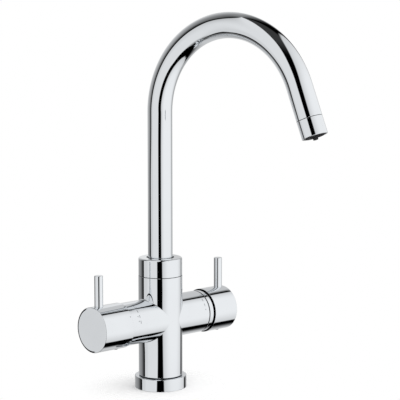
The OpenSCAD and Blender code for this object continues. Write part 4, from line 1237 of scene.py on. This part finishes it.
def joined(name, meshes):
    """One mesh from several, each face turned to its own facing."""
    form = bmesh.new()
    for mesh in meshes:
        form.from_mesh(mesh)
    bmesh.ops.remove_doubles(form, verts=form.verts, dist=WALL_WELD * MM)
    layer = form.loops.layers.float_vector["facing"]
    for face in form.faces:
        if face.normal.dot(face.loops[0][layer]) < 0:
            face.normal_flip()
    made = bpy.data.meshes.new(name)
    form.to_mesh(made)
    form.free()
    return made


def tube_wall(radius, facing):
    return grown(bend_tree, {
        "Radius": radius * MM, "Facing": facing, "Lowest": TUBE_Z * MM, "Bend Height": BEND_Z * MM,
        "Bend Radius": BEND_R * MM, "Sweep": BEND_SWEEP, "Straight End": (TAIL_L - TUBE_EDGE) * MM,
        "Heading": SPOUT_TURN, "Finish": tube_chrome,
    })


def tube_rims():
    upper = outline([
        (TUBE_R, TAIL_L - TUBE_EDGE), (TUBE_R, TAIL_L, TUBE_EDGE), (TUBE_IN_R, TAIL_L),
        (TUBE_IN_R, TAIL_L - TUBE_EDGE),
    ])
    lower = outline([(TUBE_IN_R, TUBE_Z), (TUBE_R, TUBE_Z)])
    angles = np.linspace(-math.pi, math.pi, TUBE_SIDES + 1)
    rims = Shell()
    rims.turn(upper, TAIL, angles)
    rims.turn(lower, frame_of((0, 0, 0), HEADING @ Vector((1, 0, 0)), (0, 0, 1)), angles)
    return rims.mesh("Rims")


tube_walls = [tube_wall(TUBE_R, 1.0), tube_wall(TUBE_IN_R, -1.0), tube_rims()]
tube = piece("SpoutTube", joined("SpoutTube", tube_walls), tube_chrome)
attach(tube, "spout")
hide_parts("spout_tube")

# %% [markdown]
# The outlet has a plain chrome housing that continues the tube behind a fine seam, and a small
# black nozzle in its middle that keeps filtered water apart. Both are drawn as if they stood
# upright and turned round the axis of the tube's straight end, so no slant has to be worked out.
# Their heights are distances along that end.
# %% Outlet housing and nozzle
OUTLET_END = 50.0
MOUTH_EDGE = 0.4
INSERT_LIP = 48.6
HOUSING_IN_R = 10.55
SPIGOT_R = 11.25
SPIGOT_START = 25.0
LIP_BORE_R = 11.3
NOZZLE_BORE_R = 1.6
BARB_R = 2.95
BARB_START = 32.2
SHANK_R = 3.6
SHANK_START = 38.2
TIP_R = 2.5
TIP_START = 49
TIP_END = 53.2
FROM_TAIL = TAIL.inverted()


# The faces in the seam between the tube and the housing get painted shade, for the shade in the joint.
def in_outlet_seam(spot):
    local = FROM_TAIL @ spot
    return TAIL_L < local.z < TAIL_L + SEAM_GAP + NEAR and local.xy.length < TUBE_R - SEAM_EDGE


housing_runs = outline([
    (HOUSING_IN_R, SPIGOT_START), (SPIGOT_R, SPIGOT_START), (SPIGOT_R, TAIL_L + FIT),
    (TUBE_R - SEAM_DEPTH, TAIL_L + FIT), (TUBE_R - SEAM_DEPTH, TAIL_L + SEAM_GAP),
    (TUBE_R, TAIL_L + SEAM_GAP, SEAM_EDGE), (TUBE_R, OUTLET_END, MOUTH_EDGE),
    (LIP_BORE_R, OUTLET_END, SEAM_EDGE), (LIP_BORE_R, INSERT_LIP), (HOUSING_IN_R, INSERT_LIP),
], closed=True)
housing = turned_piece("AeratorHousing", housing_runs, TAIL, tube_chrome, in_seam=in_outlet_seam)
nozzle_runs = outline([
    (NOZZLE_BORE_R, BARB_START), (BARB_R, BARB_START), (BARB_R, SHANK_START), (SHANK_R, SHANK_START),
    (SHANK_R, TIP_START, SEAM_EDGE), (TIP_R, TIP_START), (TIP_R, TIP_END, MOUTH_EDGE),
    (NOZZLE_BORE_R, TIP_END, SEAM_EDGE),
], closed=True)
nozzle = turned_piece("FilterNozzle", nozzle_runs, TAIL, black_plastic, sides=64)
for made, node, slot in (
    (housing, "aerator_housing", "tube_chrome"),
    (nozzle, "filter_nozzle", "black_plastic"),
):
    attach(made, "spout")
    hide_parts(node)

# %% [markdown]
# The insert in the outlet is a moulded disc. Water leaves through a ring of holes between thin
# ribs that keep the stream straight. The ribs repeat at an even angle, so Geometry Nodes place one
# rib on every spot of a circle and sweep a small oblong round two hoops. The count, the reach and
# the thickness are inputs, and the tree also moves the ribs to the slanted end of the tube.
# %% Ribs of the outlet
def ribs_tree():
    tree, net, given = new_tree(
        "OutletRibs", Geometry=["Disc"], Int=["Ribs"],
        Float=["Inner Reach", "Outer Reach", "Height", "Width", "Lift"], Vector=["Place", "Turn"],
        Material=["Finish"],
    )
    inner, outer = given("Inner Reach"), given("Outer Reach")
    width, height = given("Width"), given("Height")
    bar = net.node("GeometryNodeMeshCube", Size=net.combined(outer - inner, width, height))
    spots = net.node("GeometryNodeMeshCircle", Vertices=given("Ribs"), Radius=(inner + outer) * 0.5)
    step = net.maths("DIVIDE", 2 * math.pi, given("Ribs"))
    turned = net.combined(0.0, 0.0, net.amount(net.node("GeometryNodeInputIndex").outputs[0]) * step)
    bars = net.node(
        "GeometryNodeInstanceOnPoints", Points=spots.outputs[0], Instance=bar.outputs[0], Rotation=turned,
    )
    section = net.node("GeometryNodeCurvePrimitiveQuadrilateral", Width=width, Height=height)
    together = net.node("GeometryNodeJoinGeometry")
    net.feed(together.inputs[0], bars.outputs[0])
    for reach in (inner, outer):
        path = net.node("GeometryNodeCurvePrimitiveCircle", Resolution=96, Radius=reach)
        hoop = net.filled(net.node("GeometryNodeCurveToMesh"), path.outputs[0], section.outputs[0])
        net.feed(together.inputs[0], hoop[0])
    shape = together.outputs[0]
    for shift in (
        {"Translation": net.combined(0.0, 0.0, given("Lift"))},
        {"Translation": given("Place"), "Rotation": given("Turn")},
    ):
        shape = net.node("GeometryNodeTransform", Geometry=shape, **shift).outputs[0]
    real = net.node("GeometryNodeRealizeInstances", Geometry=shape)
    whole = net.node("GeometryNodeJoinGeometry")
    net.feed(whole.inputs[0], flat_faced(net, real.outputs[0]))
    net.feed(whole.inputs[0], given("Disc"))
    end_tree(net, whole.outputs[0], given("Finish"))
    return tree


outlet_ribs = ribs_tree()
print("ribs tree has", len(outlet_ribs.nodes), "nodes")

# %% [markdown]
# The disc itself is turned, and its holes are cut one by one. It widens to a lip at the mouth of
# the housing, so from below the outlet is dark nearly to its edge.
# %% Outlet insert
INSERT_START = 35.2
INSERT_END = 50.1
INSERT_R = 10.5
INSERT_BORE_R = 4.05
LIP_R = 11.2
HOLE_COUNT = 12
HOLE_RING_R = 7.0
HOLE_R = 1.1
RIB_COUNT = 24
RIB_INNER = 5.2
RIB_OUTER = 8.9
RIB_HEIGHT = 0.6
RIB_WIDTH = 0.4
RIB_LIFT = 0.25


def insert_disc():
    disc = Shell()
    disc.turn(outline([
        (INSERT_BORE_R, INSERT_START), (INSERT_R, INSERT_START), (INSERT_R, INSERT_LIP + FIT),
        (LIP_R, INSERT_LIP + FIT), (LIP_R, INSERT_END, MOUTH_EDGE), (SHANK_R + FIT, INSERT_END),
        (SHANK_R + FIT, SHANK_START), (INSERT_BORE_R, SHANK_START),
    ], closed=True), TAIL, full_turn(128))
    tools = []
    for turn in np.linspace(0, 2 * math.pi, HOLE_COUNT, endpoint=False):
        way = TAIL.to_3x3() @ Vector((math.cos(turn), math.sin(turn), 0))
        hole_place = frame_of(TAIL.translation + way * HOLE_RING_R, way, TAIL.col[2].xyz)
        tools.append(cutter(bore(INSERT_END + 1, (HOLE_R, INSERT_START - 1)), hole_place, 24))
    return carved(disc.mesh("Disc"), tools)


insert_mesh = grown(outlet_ribs, {
    "Ribs": RIB_COUNT, "Inner Reach": RIB_INNER * MM, "Outer Reach": RIB_OUTER * MM,
    "Height": RIB_HEIGHT * MM, "Width": RIB_WIDTH * MM, "Lift": (INSERT_END + RIB_LIFT) * MM,
    "Place": TAIL.translation * MM, "Turn": Vector(TAIL.to_euler()), "Finish": black_plastic,
}, insert_disc())
insert = piece("AeratorInsert", insert_mesh, black_plastic)
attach(insert, "spout")
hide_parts("aerator_insert")

# %% [markdown]
# Fine grey marks are etched round each arm beside its seam, and a dot on the filter knob points at
# them. They are shown as plain ticks and dots that stand for nothing. Each is a plate a few
# hundredths of a millimetre thick. Geometry Nodes lay a row of plates flat, at a set step, and
# then wrap the row round the arm, so a tick stays at the same height above the chrome all along.
# %% Wrapping marks round an arm
def marks_tree():
    tree, net, given = new_tree(
        "MarksRoundArm", Int=["Count"], Bool=["Dots"],
        Float=["First Angle", "Step", "Place", "Radius", "Axis Height", "Length", "Width", "Thickness"],
        Material=["Finish"],
    )
    radius, width, thickness = given("Radius"), given("Width"), given("Thickness")
    offset = net.combined(0.0, -(given("Step") * radius))
    row = net.node("GeometryNodeMeshLine", Count=given("Count"), Offset=offset)
    plate_size = net.combined(width, given("Length"), thickness)
    plate = net.node("GeometryNodeMeshCube", Size=plate_size, Vertices_Y=7)
    dot = net.node("GeometryNodeMeshCylinder", Vertices=20, Radius=width * 0.5, Depth=thickness)
    choice = net.node("GeometryNodeSwitch", {"input_type": "GEOMETRY"})
    chosen = net.filled(choice, given("Dots"), plate.outputs[0], dot.outputs[0])[0]
    laid = net.node("GeometryNodeInstanceOnPoints", Points=row.outputs[0], Instance=chosen)
    real = net.node("GeometryNodeRealizeInstances", Geometry=laid.outputs[0])
    along, sideways, upward = net.parts(net.node("GeometryNodeInputPosition").outputs[0])
    angle = given("First Angle") - sideways / radius
    angle_sin, angle_cos = sine_and_cosine(net, angle)
    reach = upward + radius
    place = along + given("Place")
    wrapped = net.combined(place, -(angle_sin * reach), angle_cos * reach + given("Axis Height"))
    placed = net.node("GeometryNodeSetPosition", Geometry=real.outputs[0], Position=wrapped)
    end_tree(net, flat_faced(net, placed.outputs[0]), given("Finish"))
    return tree


wrap = marks_tree()
print("marks tree has", len(wrap.nodes), "nodes")

# %% [markdown]
# The ticks and dots are laid in short rows. Angles are in degrees from the top of the arm, towards
# the side that the picture shows.
# %% Etched marks
MARK_THICK = 0.08
MARK_SINK = 0.01
TICK_L = 3.0
TICK_WIDE = 0.7
DOT_WIDE = 1.1


def marks(place, radius, first, step, count, dots=False):
    """Row of marks at a place along X, from its first angle in equal steps."""
    return grown(wrap, {
        "Count": count, "Dots": dots, "First Angle": math.radians(first), "Step": math.radians(step),
        "Place": place * MM, "Radius": (radius - MARK_SINK) * MM, "Axis Height": ARM_Z * MM,
        "Length": TICK_L * MM, "Width": (DOT_WIDE if dots else TICK_WIDE) * MM,
        "Thickness": MARK_THICK * MM, "Finish": etched,
    })


arm_marks = piece("ArmMarks", joined("ArmMarks", [
    marks(-44.0, ARM_R, 46.0, 15.5, 3),
    marks(-46.2, ARM_R, 61.0, 13.0, 2, True),
    marks(44.0, ARM_R, 47.0, 15.0, 2),
    marks(44.0, ARM_R, 75.0, 8.0, 1, True),
]), etched)
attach(arm_marks, "root")
knob_mark = piece("FilterKnobMark", marks(-56.6, KNOB_R, 59.0, 8.0, 1, True), etched)
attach(knob_mark, "filter_handle")

# %% [markdown]
# The solids that stay as the CAD model has them are seals, discs, brass and steel parts inside the
# tap. Their shapes are right, so they only get a finish that suits what they are made of.
# %% Finishes of the inner solids
FINISHES = (
    (inner_brass, (
        "inlet_block", "filter_nipple", "spout_foot", "mixer_stem", "mixer_nut", "filter_valve_housing",
        "filter_valve_nut", "filter_spindle",
    )),
    (steel, ("spout_stop_screw", "mixer_tilt_pin", "mixer_set_screw", "filter_set_screw")),
    (rubber, (
        "base_seal", "inlet_seals", "spout_o_rings", "aerator_seal", "mixer_port_seals",
        "filter_valve_seal", "filter_spindle_seal",
    )),
    (black_plastic, ("spout_slide_ring", "mixer_rotor", "mixer_disc_driver", "mixer_housing")),
    (white_plastic, ("spout_slide_washer", "filter_water_tube", "mixer_port_plate")),
    (ceramic, ("mixer_fixed_disc", "mixer_moving_disc", "filter_fixed_disc", "filter_moving_disc")),
)
for paint, names in FINISHES:
    for name in names:
        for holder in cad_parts[name].material_slots:
            holder.material = paint
print("inner solids with a finish:", sum(len(names) for _, names in FINISHES))
